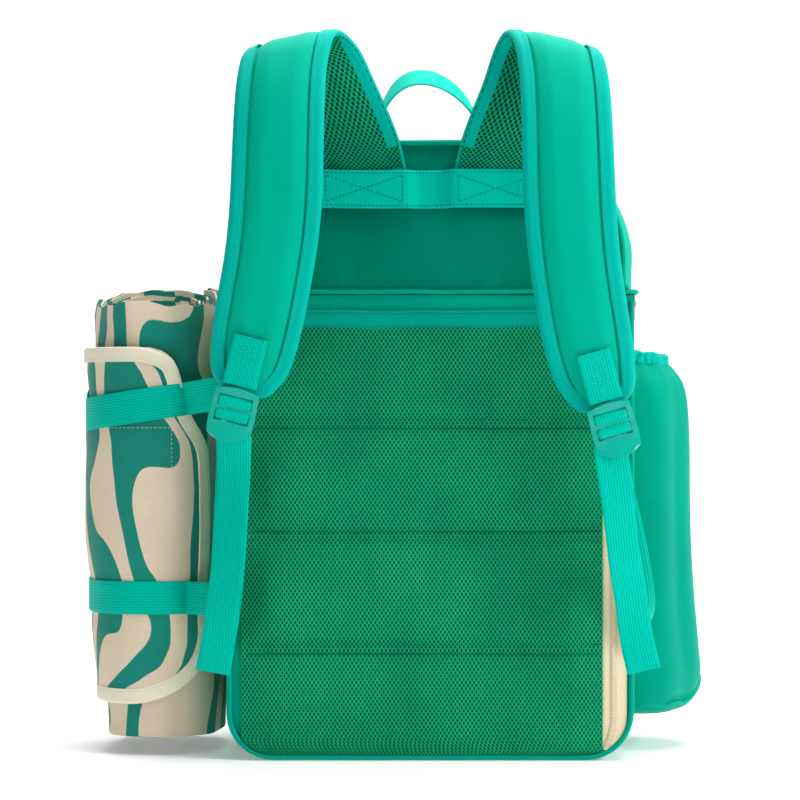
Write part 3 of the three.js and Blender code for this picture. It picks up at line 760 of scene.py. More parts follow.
@dataclass
class Repeats:
    """Many copies of one small shape, gathered into one piece."""

    kind: str
    points: list[Array] = field(default_factory=list)

    def put(self, centres: Array, along: Array, out: Array, size: Sequence[float]) -> None:
        """Puts a copy at each centre.

        Args:
            centres: one place a row.
            along: the direction of each copy's length.
            out: the direction of each copy's height.
            size: half its length, width and height.
        """
        shape, _ = seed_shape(self.kind)
        x = unit(along)
        y = unit(np.cross(out, x))
        z = np.cross(x, y)
        scaled = shape * np.asarray(size)
        for c, a, b, d in zip(centres, x, y, z):
            self.points.append(c + scaled @ np.array([a, b, d]))

    def row(
        self, route: Route, pitch: float = 3.1 * MM, long: float = 2.1 * MM, thick: float = 0.34 * MM
    ) -> None:
        """Sews a row of stitches along a route."""
        count = max(1, int(route.length / pitch))
        share = (np.arange(count) + 0.5) / count
        points, _, out = route.at(share)
        ahead, _, _ = route.at(np.minimum(share + 0.002, 1))
        behind, _, _ = route.at(np.maximum(share - 0.002, 0))
        self.put(points, ahead - behind, out, (long / 2, thick, thick * 0.8))

    def line(self, start: Array, end: Array, out: Array, **sizes: float) -> None:
        """Sews a straight row of stitches."""
        ends = np.array([start, end], float)
        fine = np.linspace(ends[0], ends[1], 12)
        self.row(Route.through(fine, out, 12, raw=True), **sizes)

    def finish(self, name: str) -> bpy.types.Object:
        """Joins the copies into one object."""
        _, faces = seed_shape(self.kind)
        count = len(self.points[0])
        all_faces = [tuple(i + k * count for i in f) for k in range(len(self.points)) for f in faces]
        mesh = bpy.data.meshes.new(name)
        mesh.from_pydata(np.vstack(self.points).tolist(), [], all_faces)
        obj = bpy.data.objects.new(name, mesh)
        bpy.context.scene.collection.objects.link(obj)
        pick(obj)
        bpy.ops.object.shade_smooth()
        return obj


class Body(Enum):
    """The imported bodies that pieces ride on."""

    BOX = "cooler_body"
    LID = "lid"
    HANDLE = "carry_handle"
    BLANKET = "rolled_blanket"


def dress(obj: bpy.types.Object, finish: Cloth | Moulding) -> None:
    """Gives a piece one finish."""
    obj.data.materials.clear()
    obj.data.materials.append(finish.material())


def hand_over(
    obj: bpy.types.Object,
    finish: Cloth | Moulding,
    body: Body | str,
    slot: str,
    *nodes: str,
) -> bpy.types.Object:
    """Dresses a piece, rides it on its body and names what it stands for.

    Args:
        obj: the finished piece.
        finish: its finish.
        body: the body that it rides on.
        slot: a material slot's name; not used.
        nodes: the frame's nodes that it replaces.
    """
    dress(obj, finish)
    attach(obj, body.value if isinstance(body, Body) else body)
    if nodes:
        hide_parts(*nodes)
    LOG.info("%s: %d faces", obj.name, len(obj.data.polygons))
    return obj


# ---- the box and the lid ---------------------------------------------------------------------


@dataclass
class Outline:
    """The bag's outline seen from the wearer's side, at the frame's own sizes."""

    half_width: float
    half_depth: float
    rim: float
    hinge: float
    top: float
    base_corner: float = 36 * MM
    dome_corner: float = 90 * MM

    @classmethod
    def from_frame(cls) -> "Outline":
        """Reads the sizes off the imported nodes."""
        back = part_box("lower_back_panel")
        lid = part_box("lid_back_panel")
        return cls(back[1].x, -back[0].y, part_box("lower_gusset")[1].z, lid[0].z, lid[1].z)

    def lower(self, inset: float = 0.0, top: float | None = None) -> Array:
        """Returns the open outline of the box as rows of x and z, left side down and right side up."""
        w, r = self.half_width - inset, self.base_corner - inset
        turn = np.linspace(0, math.pi / 2, 12)
        high = self.rim if top is None else top
        left = stacked(-w + r - r * np.cos(turn), self.base_corner - r * np.sin(turn))
        right = left[::-1] * [-1, 1]
        return np.vstack([[-w, high], left, right, [w, high]])

    def dome(self, inset: float = 0.0, foot: float | None = None) -> Array:
        """Returns the open outline of the lid as rows of x and z, left side up and right side down."""
        w, r = self.half_width - inset, self.dome_corner - inset
        spring = self.top - self.dome_corner
        turn = np.linspace(0, math.pi / 2, 20)
        low = self.hinge if foot is None else foot
        left = stacked(-w + r - r * np.cos(turn), spring + r * np.sin(turn))
        right = left[::-1] * [-1, 1]
        return np.vstack([[-w, low], left, right, [w, low]])

    def half_at(self, z: Array, lower: bool, inset: float = 0.0) -> Array:
        """Returns half the bag's width at each height, for the box or the lid."""
        if lower:
            r, centre = self.base_corner, self.base_corner
            into = np.clip(centre - z, 0, r - inset)
        else:
            r, centre = self.dome_corner, self.top - self.dome_corner
            into = np.clip(z - centre, 0, r - inset)
        return self.half_width - r + np.sqrt(np.maximum((r - inset) ** 2 - into**2, 0))


def lifted(outline: Array, y: float) -> tuple[Array, Array]:
    """Lifts an outline of x and z to one depth.

    Args:
        outline: rows of x and z.
        y: the depth.

    Returns:
        Its points, and its outward side at each, all evenly spaced.
    """
    line = stacked(outline[:, 0], y, outline[:, 1])
    gone = mileage(line)
    fine = sample(np.linspace(0, gone[-1], 260), gone, line)
    along = unit(np.gradient(fine, axis=0))
    out = np.cross(along, [0.0, 1.0, 0.0])
    middle = fine.mean(axis=0)
    if ((fine - middle) * out).sum() < 0:
        out = -out
    return fine, out


@dataclass
class Casing:
    """The cloth shell of the box or of the lid: gusset, two panels, piping, foam and liner."""

    outline: Outline
    lower: bool
    cloth: float = 1.4 * MM
    swell: float = 2.2 * MM
    piping: float = 2.1 * MM

    @property
    def body(self) -> Body:
        """The body that the shell rides on."""
        return Body.BOX if self.lower else Body.LID

    @property
    def name(self) -> str:
        """The first word of its nodes' names."""
        return "lower" if self.lower else "lid"

    def edge(self, inset: float = 0.0, end: float | None = None) -> Array:
        """Returns the shell's outline, moved in."""
        return self.outline.lower(inset, end) if self.lower else self.outline.dome(inset, end)

    def drawn_in(self, spots: Array) -> Array:
        """Draws the lid's sides in a little towards its back edge; the box stays as it is."""
        if self.lower:
            return spots
        back = -self.outline.half_depth
        amount = 0.04 * (1 - ease(spots[:, 1], back, back + 26 * MM))
        amount *= 1 - ease(spots[:, 2], 400 * MM, 468 * MM)
        amount *= ease(spots[:, 2], self.outline.hinge - 2 * MM, self.outline.hinge + 9 * MM)
        return spots * stacked(1 - amount, 1.0, 1.0)

    def build(self) -> None:
        """Makes every piece of the shell."""
        self.gusset()
        self.panel(-1)
        self.panel(1)
        self.pipe(-1)
        self.pipe(1)
        self.lining("foam", 2.1 * MM, 7.0 * MM, FOAM)
        self.lining("liner", 9.9 * MM, 1.2 * MM, LINER)

    def gusset(self) -> None:
        """Makes the strip that goes round the sides, with a soft swell and a little slack."""
        line, out = lifted(self.edge(self.cloth / 2), 0.0)
        route = Route.through(line, out, 260, raw=True)
        half = self.outline.half_depth - 2.0 * MM

        def place(u: Array, v: Array) -> Array:
            points, _, face = route.at(v)
            y = (2 * u - 1) * half
            spots = points + stacked(0.0, y, 0.0)
            free = np.sin(np.pi * u) ** 0.5 * np.clip(to_end(v) * 14, 0, 1)
            standing = 1 - ease(spots[:, 2], 30 * MM, 4 * MM) if self.lower else 1.0
            slack = self.swell * 0.5 + 0.7 * MM * ripple(spots, 110 * MM, 3)
            seam = -0.8 * MM * np.exp(-to_end(u) / 0.02)
            return self.drawn_in(spots + face * (free * standing * slack + seam * standing)[:, None])

        obj = sheet(f"{self.name}_gusset_cloth", (2 * half, route.length), 5 * MM, place, self.cloth)
        hand_over(obj, BODY, self.body, "body_fabric", f"{self.name}_gusset")

    def panel(self, side: int) -> None:
        """Makes the back panel, side -1, or the front panel, side 1."""
        o = self.outline
        which = "back" if side < 0 else "front"
        lid_back = side < 0 and not self.lower
        low, high = (box.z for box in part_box(f"{self.name}_{which}_panel"))

        def place(u: Array, v: Array) -> Array:
            z = low + (high - low) * v
            x = (2 * u - 1) * (o.half_at(z, self.lower) - 0.5 * MM)
            near = np.minimum(to_end(u) * 2 * o.half_width, to_end(v) * (high - low))
            full = ease(near, 0.0, 28 * MM)
            spots = stacked(x, 0.0, z)
            slack = (1.3 if lid_back else 0.6) * MM * ripple(spots * [1.0, 1.0, 0.5], 120 * MM, 11 + side)
            pucker = np.exp(-near / (14 * MM)) * ease(near, 0.0, 3 * MM)
            small = (0.2 if self.lower else 1.2) * MM * pucker * ripple(spots, 20 * MM, 5)
            rest = 0.4 * MM if side < 0 or self.lower else self.swell
            y = side * (o.half_depth - self.cloth / 2 + full * np.maximum(rest + slack, -0.9 * MM) + small)
            return self.drawn_in(stacked(x, y, z))

        size = (2 * o.half_width, high - low)
        obj = sheet(f"{self.name}_{which}_cloth", size, 3.5 * MM, place, self.cloth)
        # Painted shade: the lid's back panel takes the darker copy of the body fabric.
        finish = BODY_SHADED if lid_back else BODY
        hand_over(obj, finish, self.body, "body_fabric", f"{self.name}_{which}_panel")

    def pipe(self, side: int) -> None:
        """Makes the piping round one edge."""
        which = "back" if side < 0 else "front"
        node = f"{self.name}_{which}_piping"
        low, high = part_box(node)
        end = high.z if self.lower else low.z
        line, out = lifted(self.edge(self.piping, end), side * (self.outline.half_depth + self.piping))
        line = self.drawn_in(line + out * 0.25 * MM * ripple(line, 60 * MM, 8)[:, None])
        route = Route.through(line, out, 300, raw=True)
        obj = swept(f"{self.name}_{which}_piping_cord", route, round_section(self.piping, 12), 4 * MM)
        hand_over(obj, PIPING, self.body, "trim_binding", node)

    def lining(self, what: str, inset: float, thick: float, finish: Cloth) -> None:
        """Makes one inner layer as a strip with two ends, joined.

        Args:
            what: "foam" or "liner".
            inset: how far its outer face lies inside the bag's.
            thick: its thickness.
            finish: its finish.
        """
        o = self.outline
        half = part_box(f"{self.name}_{what}")[1].y - thick / 2
        line, out = lifted(self.edge(inset + thick / 2), 0.0)
        route = Route.through(line, out, 200, raw=True)
        wrinkle = 0.8 * MM if what == "liner" else 0.1 * MM
        parts = []

        def wall(u: Array, v: Array) -> Array:
            points, _, face = route.at(v)
            y = (2 * u - 1) * half
            spots = points + stacked(0.0, y, 0.0)
            free = np.clip(np.minimum(to_end(u), to_end(v)) * 20, 0, 1)
            crease = free * wrinkle * (0.5 + 0.5 * ripple(spots, 70 * MM, 21))
            return self.drawn_in(spots - face * crease[:, None])

        parts.append(sheet("strip", (2 * half, route.length), 9 * MM, wall, thick))
        low = float(line[:, 2].min()) if self.lower else o.hinge
        high = o.rim if self.lower else float(line[:, 2].max())
        for side in (-1, 1):

            def end(u: Array, v: Array) -> Array:
                z = low + (high - low) * v
                x = (2 * u - 1) * (o.half_at(z, self.lower, inset + thick / 2))
                spots = stacked(x, side * half, z)
                free = np.clip(np.minimum(to_end(u), to_end(v)) * 20, 0, 1)
                crease = free * wrinkle * (0.5 + 0.5 * ripple(spots, 70 * MM, 22 + side))
                return self.drawn_in(spots - stacked(0.0, side * crease, 0.0))

            parts.append(sheet("end", (2 * o.half_width, high - low), 9 * MM, end, thick))
        shell = joined(f"{self.name}_{what}_shell", parts)
        hand_over(shell, finish, self.body, what, f"{self.name}_{what}")


@dataclass
class RimTrim:
    """The rim piping on the lid, and the tapes that cover the foam's edges."""

    outline: Outline
    radius: float = 1.8 * MM
    cover: float = 11 * MM

    def ring(self, out: float, z: float, corner: float) -> Array:
        """Returns a closed line round the bag at one height, starting at the back's middle."""
        x, y = self.outline.half_width + out, self.outline.half_depth + out
        turn = np.linspace(0, math.pi / 2, 7)
        quarter = stacked(np.sin(turn), -np.cos(turn)) * corner
        right_back = quarter + [x - corner, -y + corner]
        right_front = (quarter[::-1] * [1, -1]) + [x - corner, y - corner]
        half = np.vstack([[0, -y], right_back, right_front, [0, y]])
        whole = np.vstack([half, half[::-1] * [-1, 1]])
        return stacked(*whole.T, z)

    def build(self) -> None:
        """Makes the rim piping and both rim covers."""
        low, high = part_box("lid_rim_piping")
        line = self.ring(2.15 * MM, (low.z + high.z) / 2, 6 * MM)
        out = unit(line * [1, 1, 0])
        route = Route.through(line, out, 420, raw=True)
        route.points[:, 2] += 0.3 * MM * ripple(route.points, 70 * MM, 31)
        obj = swept("lid_rim_piping_cord", route, round_section(self.radius, 10), 4 * MM, closed=True)
        hand_over(obj, PIPING, Body.LID, "trim_binding", "lid_rim_piping")
        for name, body, z in (
            ("box_rim_cover", Body.BOX, self.outline.rim + 0.9 * MM),
            ("lid_rim_cover", Body.LID, self.outline.hinge - 0.9 * MM),
        ):
            line = self.ring(-self.cover / 2, z, 8 * MM)
            route = Route.through(line, UP, 300, raw=True)
            obj = swept(name, route, flat_section(self.cover, 1.2 * MM, 4), 5 * MM, closed=True)
            hand_over(obj, BODY, body, "body_fabric")


# ---- zips ------------------------------------------------------------------------------------


@dataclass
class ZipPull:
    """A zip slider and its hanging pull tab, facing +Y or -Y."""

    name: str
    facing: int
    upright: bool = False

    def build(self) -> None:
        """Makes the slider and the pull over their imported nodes."""
        self.slider()
        self.pull()

    def slider(self) -> None:
        """Makes the slider: two bevelled wings, a waist and a bridge for the pull."""
        low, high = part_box(f"{self.name}_slider")
        middle, size = (low + high) / 2, high - low
        length, width = (2, 0) if self.upright else (0, 2)
        parts = []
        for share, thick in ((-0.32, 0.3), (0.12, 0.24)):
            clear_selection()
            y = middle.y + self.facing * share * size.y
            bpy.ops.mesh.primitive_cube_add(size=1.0, location=(middle.x, y, middle.z))
            wing = bpy.context.object
            bpy.ops.transform.resize(value=(size.x, thick * size.y, size.z))
            bpy.ops.object.transform_apply(location=True, rotation=True, scale=True)
            edit(wing, partial(bpy.ops.mesh.subdivide, number_cuts=3))
            for vertex in wing.data.vertices:
                run = (vertex.co[length] - middle[length]) / size[length]
                pinch = 1 - 0.35 * max(0.0, -2 * run if self.upright else 2 * run) ** 2
                vertex.co[width] = middle[width] + (vertex.co[width] - middle[width]) * pinch
            apply_modifier(wing, "BEVEL", width=0.5 * MM, segments=2, limit_method="ANGLE")
            parts.append(wing)
        turn = np.linspace(0, math.pi, 9)
        reach = 0.32 * max(size.x, size.z)
        face = middle.y + self.facing * 0.2 * size.y
        arch = np.outer(np.cos(turn) * reach, np.eye(3)[length])
        arch[:, 1] += self.facing * np.sin(turn) * 0.28 * size.y
        line = arch + [middle.x, face, middle.z]
        outs = np.cross(np.gradient(line, axis=0), np.eye(3)[width])
        route = Route.through(line, outs, 12, raw=True)
        parts.append(swept("bridge", route, flat_section(2.2 * MM, 0.9 * MM, 2), 1 * MM))
        obj = joined(f"{self.name}_slider_body", parts)
        hand_over(smooth(obj, 35), SLIDER, f"{self.name}_slider", "zip_metal", f"{self.name}_slider")

    def pull(self) -> None:
        """Makes the pull: a folded webbing tab on a small bail."""
        low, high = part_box(f"{self.name}_pull")
        x, y = (low.x + high.x) / 2, (low.y + high.y) / 2
        out = (0.0, float(self.facing), 0.0)
        tab = [(x, y, high.z - 5 * MM), (x, y, (low.z + high.z) / 2), (x, y, low.z + 0.4 * MM)]
        route = Route.through(tab, out, 24)

        def widths(v: Array) -> Array:
            return 0.86 + 0.14 * ease(v, 0.0, 0.25) - 0.35 * ease(v, 0.9, 1.0)

        fold = swept("tab", route, flat_section(6.4 * MM, 1.4 * MM, 4), 1 * MM, widths=widths)
        turn = np.linspace(-0.5 * math.pi, 1.5 * math.pi, 25)
        bail = stacked(2.4 * MM * np.cos(turn), 0.0, 3.0 * MM * np.sin(turn))
        bail += [x, y, high.z - 3.2 * MM]
        loop = Route.through(bail, out, 28, raw=True)
        ring = swept("bail", loop, round_section(0.5 * MM, 6), 0.8 * MM, closed=True)
        dress(fold, BINDING)
        dress(ring, SLIDER)
        obj = joined(f"{self.name}_pull_tab", (fold, ring))
        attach(obj, f"{self.name}_pull")
        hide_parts(f"{self.name}_pull")


@dataclass
class ZipTape:
    """A zip laid along a route: two tapes and the coil's teeth between them."""

    name: str
    route: Route
    pitch: float = 1.7 * MM
    tooth: tuple[float, float, float] = (0.62 * MM, 1.7 * MM, 0.75 * MM)

    def tape(
        self,
        width: float,
        offset: float,
        body: Body,
        node: str,
        widths: Callable[[Array], Array] | None = None,
    ) -> None:
        """Makes one tape beside the coil."""
        section = flat_section(width, 0.9 * MM, 6)
        obj = swept(f"{node}_cloth", self.route.moved(across=offset), section, 3 * MM, widths=widths)
        hand_over(obj, ZIP_CLOTH, body, "zip_tape", node)

    def teeth(self, offset: float, body: Body, label: str) -> None:
        """Makes one row of the coil's teeth."""
        coil = Repeats("tooth")
        count = int(self.route.length / self.pitch)
        share = (np.arange(count) + (0.5 if offset > 0 else 0.0)) / count
        points, across, out = self.route.at(share)
        ahead, _, _ = self.route.at(np.minimum(share + 0.001, 1.0))
        behind, _, _ = self.route.at(np.maximum(share - 0.001, 0.0))
        coil.put(points + across * offset + out * 0.75 * MM, ahead - behind, out, self.tooth)
        hand_over(coil.finish(f"{self.name}_{label}_coil"), COIL, body, "zip_tape")

    def both_teeth(self) -> None:
        """Makes both rows of a zip that lies on the box."""
        self.teeth(-COIL_HALF, Body.BOX, "first")
        self.teeth(COIL_HALF, Body.BOX, "second")


def build_zips(outline: Outline) -> None:
    """Makes the lid's zip, the side zip, the front zip and their sliders."""
    trim = RimTrim(outline)
    z = (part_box("lid_zip_lower_tape")[1].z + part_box("lid_zip_upper_tape")[0].z) / 2
    whole = trim.ring(1.2 * MM, z, 3 * MM)
    start = (outline.half_width + 1.2 * MM, 7 * MM - outline.half_depth, z)
    half = [p for p in whole[: len(whole) // 2] if p[0] > 0 and p[1] > 8 * MM - outline.half_depth]
    right = np.array([start, *half])
    line = np.vstack([right, right[::-1] * [-1, 1, 1]])
    route = Route.through(line, unit(line * [1, 1, 0]), 500, raw=True)
    lid_zip = ZipTape("lid_zip", route)
    up = 1.0 if route.across[250, 2] > 0 else -1.0
    low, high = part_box("lid_zip_lower_tape")[0].z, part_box("lid_zip_upper_tape")[1].z
    lid_zip.tape(z - low - 0.4 * MM, up * (low - z) / 2, Body.BOX, "lid_zip_lower_tape")
    lid_zip.tape(high - z - 0.4 * MM, up * (high - z) / 2, Body.LID, "lid_zip_upper_tape")
    lid_zip.teeth(up * -COIL_HALF, Body.BOX, "lower")
    lid_zip.teeth(up * COIL_HALF, Body.LID, "upper")
    low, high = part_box("front_zip_tape")
    level = (low.z + high.z) / 2
    ends = [(low.x, high.y + 0.4 * MM, level), (high.x, high.y + 0.4 * MM, level)]
    flat = Route.through(np.linspace(ends[0], ends[1], 60), (0.0, 1.0, 0.0), 60, raw=True)
    strip = ZipTape("front_zip", flat)
    strip.tape(high.z - low.z, 0.0, Body.BOX, "front_zip_tape")
    strip.both_teeth()
    low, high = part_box("side_zip_tape")
    z = np.linspace(high.z, low.z, 80)
    right = np.minimum(high.x, outline.half_at(z, True) - 5 * MM)
    left = np.full_like(z, low.x - 1.5 * MM)
    line = stacked((left + right) / 2, low.y + 0.6 * MM, z)
    strip = ZipTape("side_zip", Route.through(line, WEARER, 80, raw=True))
    whole = float((right - left).max())
    shares = (right - left) / whole
    stops = np.linspace(0, 1, len(z))
    strip.tape(whole, 0.0, Body.BOX, "side_zip_tape", lambda v: np.interp(v, stops, shares))
    strip.both_teeth()
    for name, facing, upright in (
        ("lid_zip_left", 1, False),
        ("lid_zip_right", 1, False),
        ("front_zip", 1, False),
        ("side_zip", -1, True),
    ):
        ZipPull(name, facing, upright).build()


# ---- the mesh back ---------------------------------------------------------------------------


@dataclass
class MeshBack:
    """The padded air-mesh back: one quilted pad with three sewn channels, and its top binding."""

    outline: Outline
    channels: tuple[float, ...] = (83.2 * MM, 168.0 * MM, 252.4 * MM)
    channel_half: float = 3.8 * MM
    edge: float = 2.6 * MM

    def height(self, x: Array, z: Array, low: tuple[float, float], high: tuple[float, float]) -> Array:
        """Returns how far the pad stands off the panel at each point.

        Args:
            x: places across.
            z: places up.
            low: the pad's lowest x and z.
            high: its highest x and z.
        """
        levels = [low[1], *self.channels, high[1]]
        rise = np.zeros_like(z)
        for bottom, top in zip(levels[:-1], levels[1:]):
            inside = (z >= bottom) & (z <= top)
            t = np.clip((z - bottom) / (top - bottom), 0, 1)
            rise = np.where(inside, np.sin(np.pi * t) ** 0.55, rise)
        sides = np.minimum(x - low[0], high[0] - x)
        rise = rise * ease(sides, -2 * MM, 26 * MM)
        spots = stacked(x, 0.0, z)
        seam = np.min([np.abs(z - c) for c in self.channels], axis=0)
        sewn = np.exp(-((seam - self.channel_half) ** 2) / (2 * (1.3 * MM) ** 2))
        near = np.exp(-seam / (12 * MM))
        pucker = near * ripple(spots * [1.0, 1.0, 0.35], 30 * MM, 41)
        broad = ripple(spots * [1.0, 1.0, 0.6], 130 * MM, 43)
        pad = rise * (5.0 * MM + 2.2 * MM * broad)
        return self.edge + pad - 2.5 * MM * sewn * ease(sides, 0.0, 12 * MM) + 0.7 * MM * pucker

    def build(self) -> None:
        """Makes the pad, its stitching and its top binding."""
        low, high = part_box("back_mesh_pad")
        back = high.y
        bottom_left, top_right = (low.x, low.z), (high.x, high.z)

        def place(u: Array, v: Array) -> Array:
            z = low.z + (high.z - low.z) * v
            limit = self.outline.half_at(z, True, 4.5 * MM)
            left = np.maximum(low.x, -limit)
            right = np.minimum(high.x, limit)
            x = left + (right - left) * u
            y = back - self.height(x, z, bottom_left, top_right)
            return stacked(x, y, z)

        size = (high.x - low.x, high.z - low.z)
        pad = laid_grid("back_mesh_quilt", (110, 150), size, place)
        thickened(pad, 1.6 * MM, 60)
        hand_over(pad, BACK_MESH, Body.BOX, "air_mesh", "back_mesh_pad")
        sewing = Repeats("stitch")
        for channel in self.channels:
            for side in (-1, 1):
                x = np.linspace(low.x + 4 * MM, high.x - 2 * MM, 120)
                z = np.full_like(x, channel + side * self.channel_half)
                y = back - self.height(x, z, bottom_left, top_right) - 0.9 * MM
                line = stacked(x, y, z)
                sewing.row(Route.through(line, WEARER, 120, raw=True), long=2.6 * MM, thick=0.6 * MM)
        hand_over(sewing.finish("mesh_channel_stitching"), DARK_THREAD, Body.BOX, "air_mesh")
        self.binding()

    def binding(self) -> None:
        """Makes the tape over the pad's top edge, a little wavy, with two rows of stitches."""
        low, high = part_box("mesh_top_binding")
        x = np.linspace(low.x, high.x, 90)
        wave = 0.5 * MM * ripple(stacked(x, 0.0, 0.0), 60 * MM, 51)
        z = (low.z + high.z) / 2 - 1.5 * MM + wave
        y = np.full_like(x, high.y - 3.2 * MM) + 0.5 * wave
        route = Route.through(stacked(x, y, z), WEARER, 90, raw=True)
        width = high.z - low.z + 3 * MM
        obj = swept("mesh_top_tape", route, flat_section(width, 2.2 * MM, 8), 3 * MM)
        # Painted shade: the mesh's top tape takes the darker copy of the binding.
        hand_over(obj, MESH_TAPE_SHADED, Body.BOX, "trim_binding", "mesh_top_binding")
        sewing = Repeats("stitch")
        for offset in (-0.33, 0.33):
            sewing.row(route.moved(across=offset * width, out=1.15 * MM))
        hand_over(sewing.finish("mesh_top_stitching"), DARK_THREAD, Body.BOX, "trim_binding")


# ---- shoulder straps -------------------------------------------------------------------------


class Side(Enum):
    """The bag's left or right, as a sign on X."""

    LEFT = -1
    RIGHT = 1


@dataclass(frozen=True)
class StrapEnd:
    """How one strap hangs below its padding, in millimetres on the right side.

    The fields are the sewn tab's top middle, which way the end points, and the routes of its loose tail
    and of its lower webbing.
    """

    top: tuple[float, float, float]
    down: tuple[float, float, float]
    tail: tuple[tuple[float, float, float], ...]
    low: tuple[tuple[float, float, float], ...]


STRAP_ENDS = {
    Side.LEFT: StrapEnd(
        top=(131, -149.2, 316),
        down=(13.4, 9.5, -53.5),
        tail=((144.5, -141, 243), (144.5, -139.5, 228), (144.6, -138.5, 212), (146.9, -137.5, 182),
              (148.7, -136.5, 153), (152.4, -135, 123), (156, -133.5, 94), (160.4, -132, 70)),
        low=((144, -134.5, 244), (146, -131, 205), (148.5, -125, 165), (151.5, -116, 132),
             (155, -105.5, 107), (156.8, -97, 93), (156.2, -89, 84), (155.2, -82, 78)),
    ),
    Side.RIGHT: StrapEnd(
        top=(117.5, -149.2, 305),
        down=(15.5, 9.5, -53.5),
        tail=((131.5, -141, 236), (132.8, -139.5, 224), (136.5, -138.5, 197), (138.5, -137.5, 182),
              (141.9, -136.5, 153), (146.8, -135, 123.5), (151.2, -133.5, 94), (156.6, -132, 71)),
        low=((131.5, -135, 236), (136.5, -131.5, 205), (144, -125.5, 175), (150.5, -116.5, 146),
             (155, -106, 121), (157, -97, 103), (156.4, -88, 90), (155.2, -80, 82)),
    ),
}


@dataclass
class ShoulderStrap:
    """A padded strap with its mesh lining, binding, sewn tab, ladder lock, tail and lower webbing.

    The inner and outer edges run from under the anchor band, over the shoulder and down to the tip. They
    are for the right strap, in millimetres, and are mirrored for the left. Both straps lean a little to the
    bag's left, and the left one's end hangs higher.
    """

    side: Side
    lean: float = 6.2
    hang: float = 5.5
    inner: tuple[tuple[float, float, float], ...] = (
        (17, -95.8, 426), (18.5, -96.2, 441), (21, -99.2, 453), (24.5, -103.5, 466), (31, -107, 483),
        (40.5, -112, 505), (49, -120, 526), (55.5, -129, 536), (61.5, -140, 539), (66.5, -151, 531),
        (70, -160, 512), (71.5, -167, 487), (72.2, -170, 455), (73, -169, 422), (75, -165, 395),
        (79, -158, 365), (86.4, -147.5, 326), (93.3, -141, 299), (101, -137, 281), (113, -134.5, 268),
    )
    outer: tuple[tuple[float, float, float], ...] = (
        (80, -95.8, 426), (83, -96.2, 439), (86, -99.2, 450), (92.5, -104, 464), (102, -111, 484),
        (111, -118, 503), (119.5, -128, 517), (126.5, -139, 524), (130.5, -150, 520), (133.2, -159, 507),
        (135, -166, 487), (136.5, -170, 455), (138, -169, 422), (140, -165, 395), (144, -158, 365),
        (151.5, -147, 325), (154.5, -141, 300), (153.5, -137, 283), (143, -134.5, 270),
    )
    tape: float = 9.5 * MM
    half_edge: float = 2.1 * MM
    face: float = 3.2 * MM
    rear: float = 2.4 * MM

    def mirror(self, points: object) -> Array:
        """Returns points in metres on this strap's side."""
        return np.asarray(points, float) * [self.side.value * MM, MM, MM]

    def hung(self, points: object) -> Array:
        """Returns edge points as the strap hangs, leaning and at its own height."""
        spots = self.mirror(spline(points, 150))
        spots[:, 0] -= self.lean * MM * ease(-spots[:, 1], 100 * MM, 145 * MM)
        low = 1 - ease(spots[:, 2], 330 * MM, 430 * MM)
        spots[:, 2] -= self.side.value * self.hang * MM * low
        return spots

    @property
    def word(self) -> str:
        """The side's name in piece and node names."""
        return self.side.name.lower()

    def frames(self) -> tuple[Array, Array, Array]:
        """Returns the inner edge, the outer edge and the outward side along the strap."""
        a, b = self.hung(self.inner), self.hung(self.outer)
        along = unit(np.gradient((a + b) / 2, axis=0))
        face = unit(np.cross(along, b - a)) * self.side.value
        return a, b, face

    def top(self, d: Array) -> Array:
        """Returns the face's height above the middle surface at a distance from the edge."""
        return self.half_edge + self.face * ease(d, 6.5 * MM, 24 * MM)

    def creased(self, d: Array) -> Array:
        """Returns the face's height where it dips along the binding's inner edge."""
        return self.top(d) - 1.4 * MM * bell(d, 10.7 * MM, 1.1 * MM)

    def bottom(self, d: Array) -> Array:
        """Returns the rear's depth below the middle surface at a distance from the edge."""
        return -self.half_edge - self.rear * ease(d, 6.5 * MM, 24 * MM)

    def build(self) -> None:
        """Makes the whole strap."""
        self.layers()
        self.binding()
        self.hardware()
        self.webbings()

    def bend(self, obj: bpy.types.Object, finish: Cloth | Moulding, slot: str, *nodes: str) -> None:
        """Dresses a piece, bakes its place into its mesh and hides the frame's nodes that it replaces."""
        dress(obj, finish)
        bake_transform(obj)
        if nodes:
            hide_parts(*nodes)

    @staticmethod
    def bridge_rims() -> None:
        """Closes the gap between the face's rim and the rear's."""
        bpy.ops.mesh.select_all(action="DESELECT")
        bpy.ops.mesh.select_mode(type="EDGE")
        bpy.ops.mesh.select_non_manifold()
        bpy.ops.mesh.bridge_edge_loops()

    def layers(self) -> None:
        """Makes the padded cloth face and the mesh lining."""
        a, b, face = self.frames()
        stops = np.linspace(0, 1, len(a))
        long = float(np.linalg.norm(np.diff((a + b) / 2, axis=0), axis=1).sum())
        wide = float(np.linalg.norm(b - a, axis=1).max())

        def surface(side: Callable[[Array], Array], inset: float) -> Place:
            def place(u: Array, v: Array) -> Array:
                v = v * (1 - 1.5 * MM / long)
                pa, pb, n = (sample(v, stops, part) for part in (a, b, face))
                across = np.linalg.norm(pb - pa, axis=1)
                d = inset + u * (across - 2 * inset)
                near = np.minimum(d, across - d)
                near = np.minimum(near, (1 - v) * long + 2 * MM)
                spots = pa + unit(pb - pa) * d[:, None]
                slack = 0.25 * MM * ripple(spots, 70 * MM, 61) * ease(near, 8 * MM, 20 * MM)
                crush = 0.45 + 0.55 * ease(v * long, 14 * MM, 50 * MM)
                return spots + n * ((side(near) + slack) * crush)[:, None]

            return place

